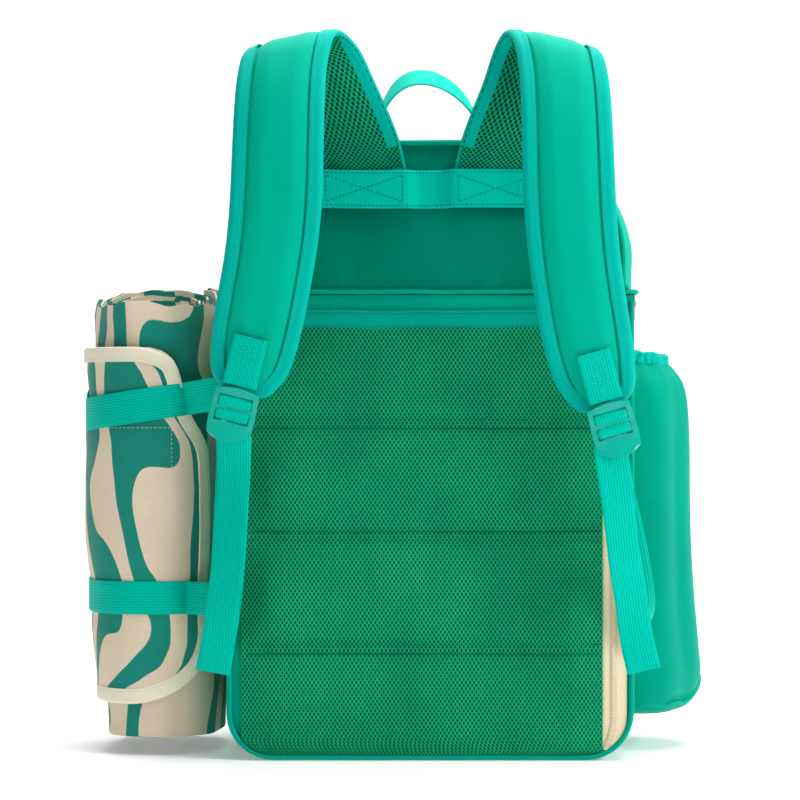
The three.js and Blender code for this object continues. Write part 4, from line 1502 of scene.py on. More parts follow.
        size = (wide, long)
        pad = laid_grid(f"{self.word}_strap_cushion", (60, 140), size, surface(self.creased, 1 * MM))
        rear = laid_grid("rear", (60, 140), size, surface(lambda d: self.bottom(d) + 1.3 * MM, 1 * MM))
        edit(rear, bpy.ops.mesh.flip_normals)
        edit(joined(pad.name, (pad, rear)), self.bridge_rims, face_outwards)
        smooth(pad, 60)
        self.bend(pad, BODY, "body_fabric", f"{self.word}_strap_pad")
        lining = laid_grid(f"{self.word}_strap_lining", (26, 120), size, surface(self.bottom, 1.2 * MM))
        self.bend(thickened(lining, 0.9 * MM, 60), STRAP_MESH, "air_mesh", f"{self.word}_strap_mesh")

    def rim(self) -> Route:
        """Returns the strap's edge, down the inner side, round the tip and up the outer side."""
        a, b, face = self.frames()
        along = unit(np.gradient((a + b) / 2, axis=0))[-1]
        beyond = along * 2.6 * MM
        tip = [0.72 * a[-1] + 0.28 * b[-1] + beyond, 0.28 * a[-1] + 0.72 * b[-1] + beyond]
        line = np.vstack([a[:-1], spline([a[-2], a[-1], *tip, b[-1], b[-2]], 24)[5:-5], b[:-1][::-1]])
        facing = np.vstack([face[:-1], np.repeat(face[-1:], 14, axis=0), face[:-1][::-1]])
        route = Route.through(line, facing, 330, raw=True)
        middle = ((a + b) / 2).mean(axis=0)
        inward = middle - route.points
        turned = (route.across * inward).sum(axis=1).mean()
        return route if turned > 0 else Route(route.points, -route.across, route.out)

    def binding(self) -> None:
        """Makes the folded tape round the edge and its stitches."""
        route = self.rim()
        skin, w = 0.9 * MM, self.tape
        d = np.array([w, w * 0.75, w * 0.45, 2.5 * MM, 0.8 * MM])
        top = stacked(d, self.top(d) + skin)
        top[-1, 1] -= 0.9 * MM
        low = stacked(d[::-1], self.bottom(d[::-1]) - skin)
        low[0, 1] += 0.9 * MM
        nose = np.array([[-0.5 * MM, 1.0 * MM], [-0.8 * MM, 0.0], [-0.5 * MM, -1.0 * MM]])
        inner_low = stacked([w, 2.4 * MM], [self.bottom(np.array(w)), -1.7 * MM])
        inner_top = stacked([2.4 * MM, w], [1.7 * MM, self.top(np.array(w))])
        section = np.vstack([top, nose, low, inner_low, [[1.2 * MM, 0.0]], inner_top])

        def crush(v: Array) -> Array:
            run = to_end(v) * route.length
            return 0.55 + 0.45 * ease(run, 14 * MM, 50 * MM)

        obj = swept(f"{self.word}_strap_edging", route, section, 3.2 * MM, heights=crush)
        self.bend(obj, BINDING, "trim_binding", f"{self.word}_strap_binding")
        sewing = Repeats("stitch")
        on = self.tape - 1.9 * MM
        lift = float(self.top(np.array(on))) + skin + 0.05 * MM
        sewing.row(route.moved(across=on, out=lift, start=0.1, end=0.9), pitch=2.5 * MM, long=1.8 * MM)
        lift = float(self.bottom(np.array(on))) - skin - 0.05 * MM
        sewing.row(route.moved(across=on, out=lift, start=0.04, end=0.96), pitch=2.5 * MM, long=1.8 * MM)
        self.bend(sewing.finish(f"{self.word}_strap_stitching"), THREAD, "trim_binding")

    def end_axes(self) -> tuple[Array, Array, Array, Array]:
        """Returns the sewn tab's top middle and the end's unit vectors across, out and down."""
        end = STRAP_ENDS[self.side]
        down = unit(self.mirror(end.down))
        across = unit(np.cross(down, WEARER))
        return self.mirror(end.top), across, unit(np.cross(across, down)), down

    def hardware(self) -> None:
        """Makes the sewn tab, the ladder lock and the webbing looped through it."""
        top, across, out, down = self.end_axes()
        skin = top + out * 2.2 * MM
        tab = Route.through([skin + down * s * MM for s in (0, 12, 24, 37)], out, 30)
        obj = swept(f"{self.word}_sewn_tab", tab, flat_section(WEBBING, 1.7 * MM, 10), 2 * MM)
        hand_over(obj, WEB, Body.BOX, "webbing", f"{self.word}_strap_tab")
        sewing = Repeats("stitch")
        half, face = WEBBING / 2 - 2.2 * MM, skin + out * 0.95 * MM
        for s in (2.5 * MM, 28 * MM):
            sewing.line(face + down * s - across * half, face + down * s + across * half, out)
        swing = across * half * 0.62
        zig = [face + down * (4 + 2.6 * k) * MM + (swing if k % 2 else -swing) for k in range(9)]
        for start, end in zip(zig[:-1], zig[1:]):
            sewing.line(start, end, out, pitch=2.8 * MM)
        hand_over(sewing.finish(f"{self.word}_tab_stitching"), THREAD, Body.BOX, "webbing")
        LadderLock(self.word, top, across, out, down).build()

    def webbings(self) -> None:
        """Makes the loose tail and the lower webbing, which turns to lie on the bag's side."""
        end = STRAP_ENDS[self.side]
        sign = self.side.value
        for name, knots, hem in (("strap_tail", end.tail, True), ("lower_webbing", end.low, False)):
            turn = np.linspace(0, 1, len(knots))
            if hem:
                angle = 0.3 * np.sin(turn * 3.1)
            else:
                angle = 1.45 * ease(turn, 0.5, 1.0)
            outs = np.outer(np.cos(angle), WEARER) + np.outer(np.sin(angle) * sign, [1.0, 0.0, 0.0])
            route = Route.through(self.mirror(knots), outs, 100)

            def heights(v: Array) -> Array:
                folded = ease(v * route.length, route.length - 17 * MM, route.length - 15 * MM)
                return 1 + (0.9 * folded if hem else 0.0)

            section = flat_section(WEBBING, 1.6 * MM, 10)
            obj = swept(f"{self.word}_{name}_web", route, section, 2.5 * MM, heights=heights)
            hand_over(obj, WEB, Body.BOX, "webbing", f"{self.word}_{name}")
            if hem:
                sewing = Repeats("stitch")
                row = route.moved(out=1.6 * MM)
                at = 1 - 12 * MM / route.length
                spot, side, face = (part[0] for part in row.at(np.array([at])))
                sewing.line(spot - side * 10 * MM, spot + side * 10 * MM, face)
                hand_over(sewing.finish(f"{self.word}_tail_stitching"), THREAD, Body.BOX, "webbing")


@dataclass
class LadderLock:
    """A ladder-lock buckle: a frame round two slots, a sunken middle bar and a lip that curls outwards."""

    word: str
    top: Array
    across: Array
    out: Array
    down: Array
    width: float = 33 * MM
    thick: float = 4.2 * MM
    start: float = 38.5 * MM

    def to_row(self, spots: Array) -> Array:
        """Moves points given as across, out and down from the tab's top into the row frame."""
        return self.top + spots @ np.array([self.across, self.out, self.down])

    def build(self) -> None:
        """Makes the plate and the webbing looped over its bars."""
        half = self.width / 2
        columns = np.array([-1.0, -0.77, -0.4, 0.0, 0.4, 0.77, 1.0]) * half
        rows = np.array([0, 2.6, 6.2, 15.0, 17.4, 26.4, 31, 36.5, 41.5]) * MM
        clear_selection()
        bpy.ops.mesh.primitive_grid_add(x_subdivisions=6, y_subdivisions=8, size=1.0)
        obj = bpy.context.object
        obj.name = obj.data.name = f"{self.word}_ladder_lock_body"
        flare = np.array([0.86, 0.95, 0.98, 1.0, 1.01, 1.02, 1.01, 0.95, 0.78])
        lift = np.array([1.6, 1.4, 0.6, -0.9, -0.9, 0.4, 1.6, 3.0, 4.4]) * MM
        for vertex in obj.data.vertices:
            i = round((vertex.co.x + 0.5) * 6)
            j = round((0.5 - vertex.co.y) * 8)
            side = abs(columns[i]) / half
            rail = 1.4 * MM if side > 0.7 and 2 <= j <= 5 else 0.0
            end = 2.6 * MM * side**2.2
            s = rows[j] + (end if j == 0 else 0.0) - (end * 1.6 if j == 8 else 0.0)
            rise = lift[j] + rail - 1.0 * MM * side**2 + 1.6 * MM
            vertex.co = (columns[i] * flare[j], rise, self.start + s)
        bpy.ops.object.mode_set(mode="EDIT")
        bpy.ops.mesh.select_mode(type="FACE")
        bpy.ops.object.mode_set(mode="OBJECT")
        for face in obj.data.polygons:
            x, s = face.center.x, face.center.z - self.start
            in_slot = rows[2] < s < rows[3] or rows[4] < s < rows[5]
            face.select = bool(in_slot and abs(x) < 0.7 * half)
        bpy.ops.object.mode_set(mode="EDIT")
        bpy.ops.mesh.delete(type="FACE")
        bpy.ops.object.mode_set(mode="OBJECT")
        apply_modifier(obj, "SOLIDIFY", thickness=self.thick, offset=0.0)
        apply_modifier(obj, "BEVEL", width=0.8 * MM, segments=2, limit_method="ANGLE")
        apply_modifier(obj, "SUBSURF", levels=2, render_levels=2)
        flat = np.array([tuple(v.co) for v in obj.data.vertices])
        for vertex, spot in zip(obj.data.vertices, self.to_row(flat)):
            vertex.co = spot
        tidy_mesh(obj)
        body = f"{self.word}_ladder_lock"
        hand_over(smooth(obj, 60), LOCK, body, "plastic", body)
        self.loops(body)

    def loops(self, body: str) -> None:
        """Makes the two folds of webbing that bulge out of the slots."""
        parts = []
        for middle in (11.0 * MM, 21.4 * MM):
            turn = np.linspace(-0.45, math.pi + 0.45, 17)
            s = self.start + middle - 4.5 * MM * np.cos(turn)
            n = 0.4 * MM + 3.9 * MM * np.sin(turn)
            line = self.to_row(stacked(0.0, n, s))
            outs = stacked(0.0, np.sin(turn), -np.cos(turn)) @ np.array(
                [self.across, self.out, self.down]
            )
            route = Route.through(line, outs, 30, raw=True)
            parts.append(swept("fold", route, flat_section(WEBBING - 0.8 * MM, 1.3 * MM, 10), 1 * MM))
        hand_over(joined(f"{self.word}_lock_webbing_folds", parts), WEB, body, "webbing")


@dataclass
class AnchorBand:
    """The stitched webbing that holds both straps' tops, bumping over each of them."""

    over: float = 101.2 * MM
    rest: float = 94.6 * MM

    def depth(self, x: Array) -> Array:
        """Returns how far the band stands out at each place across."""
        reach = np.abs(x)
        raised = ease(reach, 9 * MM, 18 * MM) * (1 - ease(reach, 82 * MM, 92 * MM))
        return -(self.rest + (self.over - self.rest) * raised)

    def build(self) -> None:
        """Makes the band and its box-and-cross stitching."""
        low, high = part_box("strap_anchor_band")
        x = np.linspace(low.x, high.x, 140)
        z = np.full_like(x, (low.z + high.z) / 2) + 0.4 * MM * np.sin(x * 40)
        line = stacked(x, self.depth(x), z)
        route = Route.through(line, WEARER, 140, raw=True)
        width = high.z - low.z
        obj = swept("strap_anchor_webbing", route, flat_section(width, 1.8 * MM, 14), 2.5 * MM)
        hand_over(obj, BAND, Body.LID, "webbing", "strap_anchor_band")
        sewing = Repeats("stitch")
        for across in (-0.42, 0.42):
            sewing.row(route.moved(across=across * width, out=1.0 * MM))
        for sign in (-1, 1):
            corners = [(sign * 21 * MM, 0.34), (sign * 78 * MM, 0.34), (sign * 78 * MM, -0.34),
                       (sign * 21 * MM, -0.34)]
            spots = [np.array([cx, -self.over - 1.0 * MM, z[0] + cz * width]) for cx, cz in corners]
            for i, j in ((0, 2), (1, 3), (0, 3), (1, 2)):
                sewing.line(spots[i], spots[j], WEARER)
        hand_over(sewing.finish("anchor_stitching"), DARK_THREAD, Body.LID, "webbing")


@dataclass
class CarryHandle:
    """The webbing grab handle, folded narrow at its feet and leaning back, with two stitched patches."""

    foot: float = 12 * MM
    lean: float = 0.26
    pivot: float = 473 * MM

    def leaned(self, points: Array) -> Array:
        """Turns points or directions about the line between the feet by the handle's lean."""
        c, s = math.cos(self.lean), math.sin(self.lean)
        x, y, z = points.T
        return stacked(x, y * c - z * s, y * s + z * c)

    def build(self) -> None:
        """Makes the handle, its feet and their patches."""
        low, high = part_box("carry_handle")
        half = (high.x - low.x) / 2 - 1.2 * MM
        rise = (high.z - self.pivot) / math.cos(self.lean) - 5.5 * MM
        turn = np.linspace(math.pi, 0, 41)
        swell = np.clip(np.sin(turn), 0, 1) ** 1.12
        arch = stacked(half * np.cos(turn) - 6 * MM * swell**2, 1.2 * MM * np.sin(3 * turn), rise * swell)
        outs = stacked(np.cos(turn), 0.12 * np.cos(2 * turn) - 0.2 * swell, np.sin(turn))
        line = self.leaned(arch) + [0.0, 0.0, self.pivot]
        route = Route.through(line, self.leaned(outs), 90, raw=True)

        def widths(v: Array) -> Array:
            return self.foot / WEBBING + (1 - self.foot / WEBBING) * ease(to_end(v), 0.05, 0.26)

        def heights(v: Array) -> Array:
            return 1 + 0.9 * (1 - ease(to_end(v), 0.05, 0.25))

        section = flat_section(WEBBING, 2.0 * MM, 10)
        obj = swept("grab_handle_webbing", route, section, 2 * MM, widths, heights)
        hand_over(obj, WEB, Body.HANDLE, "webbing", "carry_handle")
        for side, sign in (("left", -1), ("right", 1)):
            self.patch(side, sign * half)

    def patch(self, side: str, x: float) -> None:
        """Makes one foot's stub, its patch on the lid and the stitches through them.

        Args:
            side: "left" or "right".
            x: where the foot stands.
        """
        low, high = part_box(f"handle_patch_{side}")
        z = (low.z + high.z) / 2
        line = np.linspace((x, low.y, z), (x, high.y, z), 20)
        line[:, 2] += 0.35 * MM * np.sin(np.linspace(0, 9, 20))
        route = Route.through(line, UP, 20, raw=True)
        patch = swept("patch", route, flat_section(high.x - low.x, 1.4 * MM, 8), 2 * MM)
        steps = ((0.0, z - 0.5 * MM), (-0.2 * MM, self.pivot - 3 * MM), (-0.6 * MM, self.pivot + 1 * MM))
        stub = Route.through([(x, *step) for step in steps], (math.copysign(1.0, x), 0.0, 0.0), 12)
        foot = swept("foot", stub, flat_section(self.foot + 0.6 * MM, 4.4 * MM, 6), 1.5 * MM)
        obj = joined(f"handle_patch_{side}_web", (patch, foot))
        hand_over(obj, WEB, Body.LID, "webbing", f"handle_patch_{side}")
        sewing = Repeats("stitch")
        for y in (-1, 1):
            for start, end in (((-7, y * 12), (7, y * 12)), ((-7, y * 12), (-7, y * 7)),
                               ((7, y * 12), (7, y * 7)), ((-7, y * 7), (7, y * 7))):
                a, b = (np.array([x + p[0] * MM, p[1] * MM, z + 0.9 * MM]) for p in (start, end))
                sewing.line(a, b, UP)
        hand_over(sewing.finish(f"handle_{side}_stitching"), DARK_THREAD, Body.LID, "webbing")


# ---- the rolled blanket ----------------------------------------------------------------------


@dataclass
class RolledBlanket:
    """A blanket folded in three and rolled into an oval, its flap, its binding and its two bands."""

    layer: float = 2.1 * MM
    turns: float = 4.25
    cloth: float = 1.3 * MM
    folded: tuple[float, float] = (1.02, 1.36)
    tape: float = 11 * MM
    flap_foot: float = 40 * MM
    flap_top: float = 310 * MM
    flap_end: float = -math.pi - 0.35

    def __post_init__(self) -> None:
        """Reads the roll's place off its node."""
        low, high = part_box("blanket_roll")
        self.centre = np.array([(low.x + high.x) / 2, (low.y + high.y) / 2])
        self.half = np.array([(high.x - low.x) / 2, (high.y - low.y) / 2])
        self.low, self.high = low.z, high.z
        self.bands = [(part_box(f"blanket_{n}_band")[0].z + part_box(f"blanket_{n}_band")[1].z) / 2
                      for n in ("upper", "lower")]

    def oval(self, angle: Array, inset: Array | float, z: Array | float = 0.2) -> Array:
        """Returns x and y on the roll's squarish oval at each angle, moved in.

        The roll sags: its left side draws in towards the foot, and its right side towards the top.
        """
        c, s = np.cos(angle), np.sin(angle)
        cs = np.sign(c) * np.abs(c) ** 0.8
        sn = np.sign(s) * np.abs(s) ** 0.8
        left = 12.0 * MM * (1 - ease(np.asarray(z, float), 0.0, 0.17))
        right = 3.0 * MM * ease(np.asarray(z, float), 0.20, 0.34)
        draw = np.where(cs < 0, left, right) * np.abs(cs)
        reach_x, reach_y = self.half[0] - inset - draw, self.half[1] - inset
        return stacked(self.centre[0] + reach_x * cs, self.centre[1] + reach_y * sn)

    def squeeze(self, z: Array) -> Array:
        """Returns how far the bands pull the roll in at each height."""
        return sum(2.8 * MM * np.exp(-((z - band) ** 2) / (2 * (16 * MM) ** 2)) for band in self.bands)

    def build(self) -> None:
        """Makes the roll, the flap with its binding, and the bands."""
        self.roll()
        self.flap()
        self.band("upper", 0.15)
        self.band("lower", 0.0)

    def roll(self) -> None:
        """Makes the three folded layers, wound inwards from the outer end."""
        tall = self.high - self.low

        def place(u: Array, v: Array) -> Array:
            layer_no = np.minimum((u * 3).astype(int), 2)
            within = u * 3 - layer_no
            up = np.where(layer_no == 1, 1 - within, within)
            bend = np.minimum(to_end(within) * tall / (6 * MM), 1.0)
            open_edge = ((layer_no == 0) & (within < 0.5)) | ((layer_no == 2) & (within > 0.5))
            curl = np.where(within < 0.5, -0.5, 0.5) * (1 - bend) * np.where(open_edge, 0, 1)
            level = layer_no + curl
            angle = 0.9 - 2 * math.pi * self.turns * v
            wound = 3.1 * self.layer * self.turns * v
            inset = 1.4 * MM + wound + level * self.layer
            z = self.low + tall * up
            xy = self.oval(angle, inset, z)
            spots = np.column_stack([xy, z])
            loose = 1.3 * MM * ripple(spots * [1.0, 1.0, 0.5], 80 * MM, 71)
            pull = self.squeeze(z) * (1 - 0.6 * v)
            inward = unit(np.column_stack([self.centre - xy, 0 * z]))
            top = ease(z, self.high - 40 * MM, self.high)
            frill = 4.6 * MM * ripple(spots * [1.0, 1.0, 0.0], 62 * MM, 73)
            back = ease(xy[:, 1], self.centre[1] - 0.02, self.centre[1] + self.half[1])
            lean = ease(xy[:, 0], self.centre[0] - self.half[0], self.centre[0] + self.half[0])
            dent = 4.0 * MM * top * ripple(spots * [1.0, 1.0, 0.0], 75 * MM, 77)
            spots = spots + inward * (pull + loose + dent)[:, None]
            spots[:, 2] += top * (frill - 7 * MM + 16 * MM * back + 3 * MM * lean - 16 * MM * v)
            foot = 1 - ease(z, self.low, self.low + 30 * MM)
            spots[:, 2] += foot * (1.5 * MM + 1.5 * MM * ripple(spots * [1, 1, 0], 90 * MM, 75))
            return spots

        obj = laid_grid("blanket_rolled_cloth", (108, 310), self.folded, place)
        turn_print(obj, (0.11, 0.4))
        thickened(obj, self.cloth, 50)
        hand_over(obj, BLANKET, Body.BLANKET, "blanket", "blanket_roll")

    def edge_x(self, z: Array) -> Array:
        """Returns where the flap's free edge is, across, at each height of it."""
        knots = np.array([(40, -216), (42, -206), (48, -194), (57, -182), (69, -174.5), (84, -170.8),
                          (140, -170), (200, -170), (226, -170.4), (238, -172), (248, -176.5), (259, -182.5),
                          (275, -187), (291, -190.5), (301, -195), (307, -202), (310, -212)]) * MM
        return np.interp(z, knots[:, 0], knots[:, 1])

    def flap_point(self, angle: Array, z: Array, lift: float) -> Array:
        """Returns points of the flap's surface at angles round the roll."""
        xy = self.oval(angle, -lift, z)
        inward = unit(np.column_stack([self.centre - xy, 0 * z]))
        spots = np.column_stack([xy, z])
        return spots + inward * (self.squeeze(z) * 0.9)[:, None]

    def facing(self, angle: Array, z: Array) -> Array:
        """Returns the roll's outward side at angles round it."""
        along = self.oval(angle + 0.02, 0.0, z) - self.oval(angle - 0.02, 0.0, z)
        return unit(np.column_stack([along[:, 1], -along[:, 0], 0 * z]))

    def edge_angle(self, z: Array) -> Array:
        """Returns the free edge's angle round the roll at each height."""
        share = np.clip((self.edge_x(z) - self.centre[0]) / self.half[0], -1, 0.999)
        c = np.sign(share) * np.abs(share) ** (1 / 0.8)
        return -np.arccos(c)

    def flap(self) -> None:
        """Makes the flap over the near side, its cream binding and its stitching."""
        low, high = self.flap_foot, self.flap_top

        def place(u: Array, v: Array) -> Array:
            z = low + (high - low) * v
            start = self.edge_angle(z)
            angle = start + (self.flap_end - start) * u
            spots = self.flap_point(angle, z, 1.9 * MM)
            near = np.minimum(u * 0.2, np.minimum(z - low, high - z))
            lift = 1.1 * MM * ripple(spots, 80 * MM, 81) * ease(near, 0.0, 20 * MM)
            inward = unit(np.column_stack([self.centre - spots[:, :2], 0 * z]))
            return spots - inward * (np.maximum(lift, -0.5 * MM))[:, None]

        size = (0.18, high - low)
        obj = laid_grid("blanket_flap_cloth", (76, 106), size, place)
        turn_print(obj, (0.45, 0.31), turned=False)
        thickened(obj, self.cloth, 50)
        hand_over(obj, BLANKET, Body.BLANKET, "blanket", "blanket_flap")
        self.edging()

    def edging(self) -> None:
        """Makes the binding folded over the flap's edge, and the flap's stitches."""
        low, high, far = self.flap_foot, self.flap_top, self.flap_end
        zs = np.linspace(low, high, 120)
        side = self.flap_point(self.edge_angle(zs), zs, 2.6 * MM)
        count = 50
        top_angle = np.linspace(far, self.edge_angle(np.array([high]))[0], count)
        low_angle = np.linspace(self.edge_angle(np.array([low]))[0], far, count)
        top = self.flap_point(top_angle, np.full(count, high), 2.6 * MM)
        foot = self.flap_point(low_angle, np.full(count, low), 2.6 * MM)
        line = np.vstack([top[:-1], side[::-1], foot[1:]])
        kernel = np.ones(7) / 7
        for k in range(3):
            line[4:-4, k] = np.convolve(line[:, k], kernel, "same")[4:-4]
        angle = np.r_[top_angle[:-1], self.edge_angle(zs)[::-1] - 0.12, low_angle[1:]]
        route = Route.through(line, self.facing(angle, line[:, 2]), 260, raw=True)
        inward = np.array([self.centre[0] - 20 * MM, self.centre[1], (low + high) / 2]) - route.points
        if (route.across * inward).sum(axis=1).mean() < 0:
            route = Route(route.points, -route.across, route.out)
        w = self.tape
        section = np.array([(w, 1.3), (w * 0.5, 1.6), (1.5 * MM, 1.5), (0.2 * MM, 0.9), (-0.4 * MM, 0.0),
                            (0.2 * MM, -0.9), (w * 0.5, -0.9), (w, -0.7)]) * [1, MM]
        obj = swept("blanket_flap_edging", route, section, 3 * MM)
        hand_over(obj, CREAM, Body.BLANKET, "blanket_binding", "blanket_flap_binding")
        sewing = Repeats("stitch")
        sizes = {"pitch": 3.4 * MM, "long": 2.2 * MM, "thick": 0.22 * MM}
        sewing.row(route.moved(across=w - 2.0 * MM, out=1.5 * MM), **sizes)
        corners = [(-2.2, 249 * MM), (-1.36, 249 * MM), (-1.36, 132 * MM), (-2.2, 132 * MM)]
        for (a, za), (b, zb) in zip(corners[:-1], corners[1:]):
            t = np.linspace(0, 1, 30)
            spots = self.flap_point(a + (b - a) * t, za + (zb - za) * t, 3.1 * MM)
            face = unit(np.column_stack([spots[:, :2] - self.centre, 0 * t]))
            sewing.row(Route.through(spots, face, 30, raw=True), **sizes)
        hand_over(sewing.finish("blanket_flap_stitching"), CREAM_THREAD, Body.BLANKET, "blanket_binding")

    def band(self, which: str, slope: float) -> None:
        """Makes one webbing band from the bag's back edge, round the roll and to its side.

        Args:
            which: "upper" or "lower".
            slope: how much it climbs towards the bag, per metre across.
        """
        z = self.bands[0] if which == "upper" else self.bands[1]
        angle = np.linspace(-1.15, -2 * math.pi + 0.8, 90)
        near = np.array([[-151, -91.5], [-156, -89], [-170, -84.5]]) * MM
        far = np.array([[-160, 62], [-155.2, 76]]) * MM
        around = self.oval(angle, -3.9 * MM, z)
        pinch = unit(self.centre - around) * (self.squeeze(np.full(len(around), z)) * 0.8)[:, None]
        xy = np.vstack([near, around + pinch, far])
        level = z + slope * (xy[:, 0] - self.centre[0]) * np.where(xy[:, 1] < self.centre[1], 1.0, 0.2)
        line = np.column_stack([xy, level])
        outs = unit(np.column_stack([xy - self.centre, 0 * xy[:, 0]]))
        route = Route.through(spline(line, 400), spline(outs, 400), 170, raw=True)
        obj = swept(f"blanket_{which}_webbing", route, flat_section(WEBBING, 1.6 * MM, 10), 3 * MM)
        hand_over(obj, WEB, Body.BOX, "webbing", f"blanket_{which}_band")


# ---- pockets ---------------------------------------------------------------------------------


@dataclass
class BottlePouch:
    """The pouch on the right side: a gathered cloth cup with an elastic top and a seamed base."""

    levels: tuple[tuple[float, float, float], ...] = (
        (38, 38, 28.5), (49, 47, 33), (56.5, 53, 43), (59, 56, 58), (57.5, 56, 78), (54.6, 55.5, 115),
        (52.8, 55, 155), (51.5, 54.5, 195), (51, 54, 232), (49, 53, 266), (45.5, 50.5, 282),
        (39, 46.5, 292), (32.5, 42.5, 299),
    )
    cloth: float = 1.3 * MM
    core: float = 170 * MM

    def shape(self, v: Array) -> tuple[Array, Array, Array]:
        """Returns how far the pouch reaches, half its depth and its height at shares of its height."""
        fine = spline(np.array(self.levels) * MM, 120)
        gone = mileage(fine)
        return tuple(sample(v * gone[-1], gone, fine).T)

    def ring(self, u: Array, reach: Array, half: Array) -> tuple[Array, Array]:
        """Returns x and y round the pouch's D-shaped plan."""
        angle = (u - 0.5) * math.pi
        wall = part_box("bottle_pouch")[0].x
        return wall + reach * np.abs(np.cos(angle)) ** 0.7, half * np.sin(angle)

    @staticmethod
    def seam_height(u: Array) -> Array:
        """Returns the base seam's height round the pouch: it rides up where the corner sags."""
        return 36 * MM + 17 * MM * bell(u, 0.5, 0.13) + 0.8 * MM * np.sin(u * 40)

    def build(self) -> None:
        """Makes the cup, its base with its seam and the elastic binding."""
        long = 0.30

        def place(u: Array, v: Array) -> Array:
            reach, half, z = self.shape(v)
            x, y = self.ring(u, reach, half)
            spots = stacked(x, y, z)
            centre = stacked(self.core, 0.0, z)
            out = unit((spots - centre) * [1, 1, 0])
            free = np.clip(to_end(u) * 12, 0, 1)
            below = (1 - v) * long
            gather = np.exp(-below / (16 * MM)) * (0.5 + 0.5 * np.sin(u * 62 + 1.3 * np.sin(u * 17)))
            folds = np.exp(-below / (70 * MM)) * ripple(spots * [1, 1, 0.25], 40 * MM, 91)
            slack = ripple(spots * [1.0, 1.0, 0.4], 130 * MM, 93)
            base = np.exp(-((z - 42 * MM) ** 2) / (2 * (7 * MM) ** 2))
            crease = base * ripple(spots, 34 * MM, 95)
            valley = bell(u, 0.24, 0.08) * np.sin(np.pi * np.clip(v, 0, 1)) ** 0.7
            seam = bell(z - self.seam_height(u), 4.5 * MM, 2.2 * MM)
            push = -2.2 * MM * gather + 1.1 * MM * folds + 1.3 * MM * slack + 1.2 * MM * crease
            push = push - 7.0 * MM * valley - 1.8 * MM * seam
            return spots + out * (free * push)[:, None]

        obj = sheet("bottle_pouch_cloth", (0.16, long), 2.5 * MM, place, self.cloth)
        # Painted shade: the cup takes the darker copy of the body fabric, while its floor keeps the body
        # fabric.
        hand_over(obj, POUCH_SHADED, Body.BOX, "body_fabric", "bottle_pouch")
        self.base()
        self.elastic()

    def base(self) -> None:
        """Makes the pouch's floor and the piping round it."""
        reach, half, z = (float(part[0]) for part in self.shape(np.array([0.0])))

        def floor(u: Array, v: Array) -> Array:
            x, y = self.ring(u, reach, half)
            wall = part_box("bottle_pouch")[0].x
            sag = 1.5 * MM * np.sin(np.pi * v)
            return stacked(wall + (x - wall) * v, y * v, z + sag)

        obj = sheet("bottle_pouch_floor", (0.14, 0.05), 4 * MM, floor, self.cloth)
        hand_over(obj, BODY, Body.BOX, "body_fabric")
        u = np.linspace(0.02, 0.98, 160)
        level = self.seam_height(u)
        fine = spline(np.array(self.levels) * MM, 120)
        x, y = self.ring(u, *(np.interp(level, fine[:, 2], fine[:, k]) for k in (0, 1)))
        line = stacked(x, y, level)
        route = Route.through(line, unit((line - [self.core, 0, z]) * [1, 1, 0]), 160, raw=True)
        obj = swept("bottle_pouch_base_piping", route, round_section(1.8 * MM, 10), 2 * MM)
        hand_over(obj, PIPING, Body.BOX, "trim_binding")

    def elastic(self) -> None:
        """Makes the gathered elastic binding round the mouth."""
        low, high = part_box("pouch_elastic_binding")
        reach, half, _ = (float(part[0]) for part in self.shape(np.array([1.0])))
        u = np.linspace(0.01, 0.99, 200)
        x, y = self.ring(u, reach, half)
        bunch = 0.8 * MM * np.sin(u * 124 + 2.0 * np.sin(u * 17))
        droop = 3.0 * MM * ease(x, x.min(), x.max())
        z = (low.z + high.z) / 2 - 0.5 * MM + 0.8 * MM * np.sin(u * 58 + 1.0 * np.sin(u * 23)) - droop
        out = unit(stacked(x - 0.162, y, 0.0))
        line = stacked(x, y, z) + out * bunch[:, None]
        route = Route.through(line, out, 260, raw=True)
        width = high.z - low.z + 2 * MM
        obj = swept("pouch_elastic_edging", route, flat_section(width, 3.0 * MM, 6), 1.5 * MM)
        hand_over(obj, BINDING, Body.BOX, "trim_binding", "pouch_elastic_binding")
        sewing = Repeats("stitch")
        sewing.row(route.moved(across=0.3 * width, out=1.6 * MM))
        sewing.row(route.moved(across=-0.3 * width, out=1.6 * MM))
        hand_over(sewing.finish("pouch_elastic_stitching"), THREAD, Body.BOX, "trim_binding")


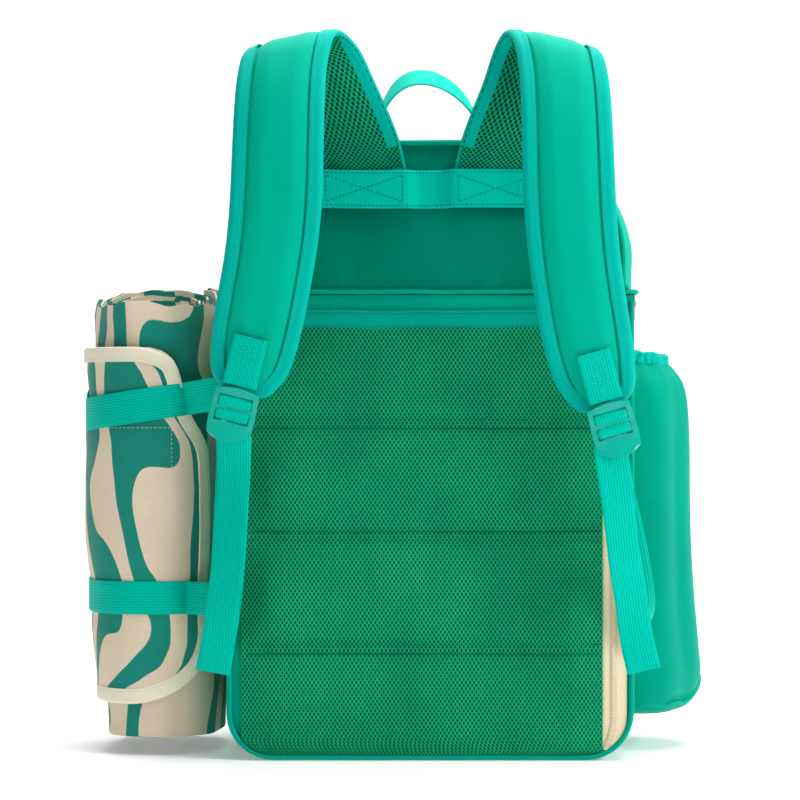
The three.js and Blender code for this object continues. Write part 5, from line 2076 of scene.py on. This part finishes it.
@dataclass
class FrontPocket:
    """The slip pocket on the front, a full cloth panel on its gusset with a bound top edge."""

    corner: float = 24 * MM
    cloth: float = 1.3 * MM

    def build(self) -> None:
        """Makes the pocket's cloth, its top binding and its stitching."""
        low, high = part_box("front_slip_pocket")
        half, foot, top = high.x, low.z, high.z
        back, front = low.y, high.y

        def place(u: Array, v: Array) -> Array:
            side = np.abs(2 * u - 1)
            lean = np.clip((side - 0.86) / 0.14, 0, 1)
            drop = np.clip((0.1 - v) / 0.1, 0, 1)
            inner_v = np.clip((v - 0.1) / 0.9, 0, 1)
            z = foot + (top - foot) * inner_v
            into = np.clip(self.corner - (z - foot), 0, self.corner)
            wide = half - self.corner + np.sqrt(np.maximum(self.corner**2 - into**2, 0))
            x = np.sign(2 * u - 1) * wide * np.minimum(side / 0.86, 1)
            deep = 1 - np.maximum(lean, drop)
            spots = stacked(x, 0.0, z)
            full = ease(np.minimum(deep * 20 * MM, np.minimum(inner_v, 1.0) * (top - foot)), 0, 40 * MM)
            belly = 3.0 * MM * np.sin(np.pi * np.clip(inner_v, 0, 1)) * (1 - side**4) * (deep > 0.99)
            slack = 1.0 * MM * ripple(spots, 120 * MM, 101) * deep * (0.4 + full)
            y = back + (front - back - self.cloth) * deep**0.7 + belly + slack
            return stacked(x, y, z)

        obj = sheet("front_pocket_cloth", (0.26, 0.235), 3.2 * MM, place, self.cloth)
        hand_over(obj, BODY, Body.BOX, "body_fabric", "front_slip_pocket")
        low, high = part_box("slip_pocket_binding")
        lift = (high.z + low.z) / 2 - 1.5 * MM
        corner = [(-half + 0.8 * MM, back + 1 * MM), (-half + 0.8 * MM, front - 5 * MM),
                  (-half + 5 * MM, front - 0.8 * MM)]
        plan = np.array(corner + [(0.0, front + 0.6 * MM)] + [(-x, y) for x, y in corner[::-1]])
        line = stacked(*plan.T, lift)
        outs = unit(line * [1, 1, 0] - [0, 0.06, 0])
        route = Route.through(line, outs, 160)
        obj = swept("front_pocket_edging", route, flat_section(10 * MM, 2.4 * MM, 6), 3 * MM)
        hand_over(obj, BINDING, Body.BOX, "trim_binding", "slip_pocket_binding")
        sewing = Repeats("stitch")
        sewing.row(route.moved(across=3 * MM, out=1.3 * MM))
        sewing.row(route.moved(across=-3 * MM, out=1.3 * MM))
        hand_over(sewing.finish("front_pocket_stitching"), THREAD, Body.BOX, "trim_binding")


# ---- the studio ------------------------------------------------------------------------------


@dataclass
class Studio:
    """A pale floor that sweeps up behind, soft lights, and a level camera on the wearer's side."""

    distance: float = 2.0
    eye: float = 0.270
    across: float = -0.0227
    lens: float = 114.4

    def build(self) -> None:
        """Makes the camera, the lights and the floor."""
        self.camera()
        self.sweep()
        self.light("top_softbox", (0.3, -0.45, 1.7), (0.0, -0.1, 0.3), 1.0, 17.0)
        self.light("key_softbox", (1.35, -0.75, 0.9), (0.0, 0.0, 0.25), 0.6, 17.0)
        self.light("fill_softbox", (-1.5, -1.9, 0.7), (0.0, 0.0, 0.25), 1.2, 4.5)
        self.light("backdrop_light", (0.0, 0.6, 1.8), (0.0, 1.4, 0.2), 1.5, 38.0)
        world = bpy.data.worlds.new("studio_air")
        bpy.context.scene.world = world
        world.use_nodes = True
        air = world.node_tree.nodes["Background"]
        air.inputs["Color"].default_value = (1.0, 1.0, 1.0, 1.0)
        air.inputs["Strength"].default_value = 0.18
        bpy.context.scene.view_settings.view_transform = "Standard"

    def camera(self) -> None:
        """Makes the camera."""
        clear_selection()
        bpy.ops.object.camera_add(
            location=(self.across, -self.distance, self.eye), rotation=(math.pi / 2, 0.0, 0.0)
        )
        camera = bpy.context.object
        camera.data.lens = self.lens
        camera.data.sensor_width = SENSOR
        bpy.context.scene.camera = camera

    def light(self, name: str, at: Sequence[float], to: Sequence[float], size: float, power: float) -> None:
        """Makes one square softbox."""
        clear_selection()
        bpy.ops.object.light_add(type="AREA", location=at)
        lamp = bpy.context.object
        lamp.name = name
        lamp.data.shape = "SQUARE"
        lamp.data.size = size
        lamp.data.energy = power
        aim = np.array(to) - np.array(at)
        lamp.rotation_euler = (
            math.atan2(math.hypot(aim[0], aim[1]), -aim[2]), 0.0, math.atan2(aim[1], aim[0]) - math.pi / 2
        )

    def sweep(self) -> None:
        """Makes the floor and the backdrop as one curved sheet."""
        turn = np.linspace(0, math.pi / 2, 20)
        bend = stacked(1.6 + 1.2 * np.sin(turn), 1.2 - 1.2 * np.cos(turn))
        table = np.vstack([(-5.0, 0.0), bend, (2.8, 5.0)])

        def place(u: Array, v: Array) -> Array:
            y, z = sample(v * (len(table) - 1), np.arange(len(table)), table).T
            return stacked((u - 0.5) * 12.0, y, z - 0.2 * MM)

        obj = laid_grid("studio_sweep", (4, len(table) - 1), (12.0, 10.0), place)
        smooth(obj, 60)
        paper = Moulding("studio_paper", (0.93, 0.93, 0.93), roughness=0.8, grain=0.0, glow=0.2)
        dress(obj, paper)


def dress_frame() -> None:
    """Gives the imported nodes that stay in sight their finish."""
    dress(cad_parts["base_board"], BOARD)


def main() -> None:
    """Builds the backpack from the inside out and then the studio."""
    logging.basicConfig(level=logging.INFO, format="%(name)s %(message)s")
    outline = Outline.from_frame()
    steps = (
        Casing(outline, lower=True),
        Casing(outline, lower=False),
        RimTrim(outline),
        MeshBack(outline),
        AnchorBand(),
        ShoulderStrap(Side.LEFT),
        ShoulderStrap(Side.RIGHT),
        CarryHandle(),
        RolledBlanket(),
        BottlePouch(),
        FrontPocket(),
        Studio(),
    )
    for step in steps:
        LOG.info("building %s", type(step).__name__)
        step.build()
    build_zips(outline)
    dress_frame()


if __name__ == "__main__":
    main()
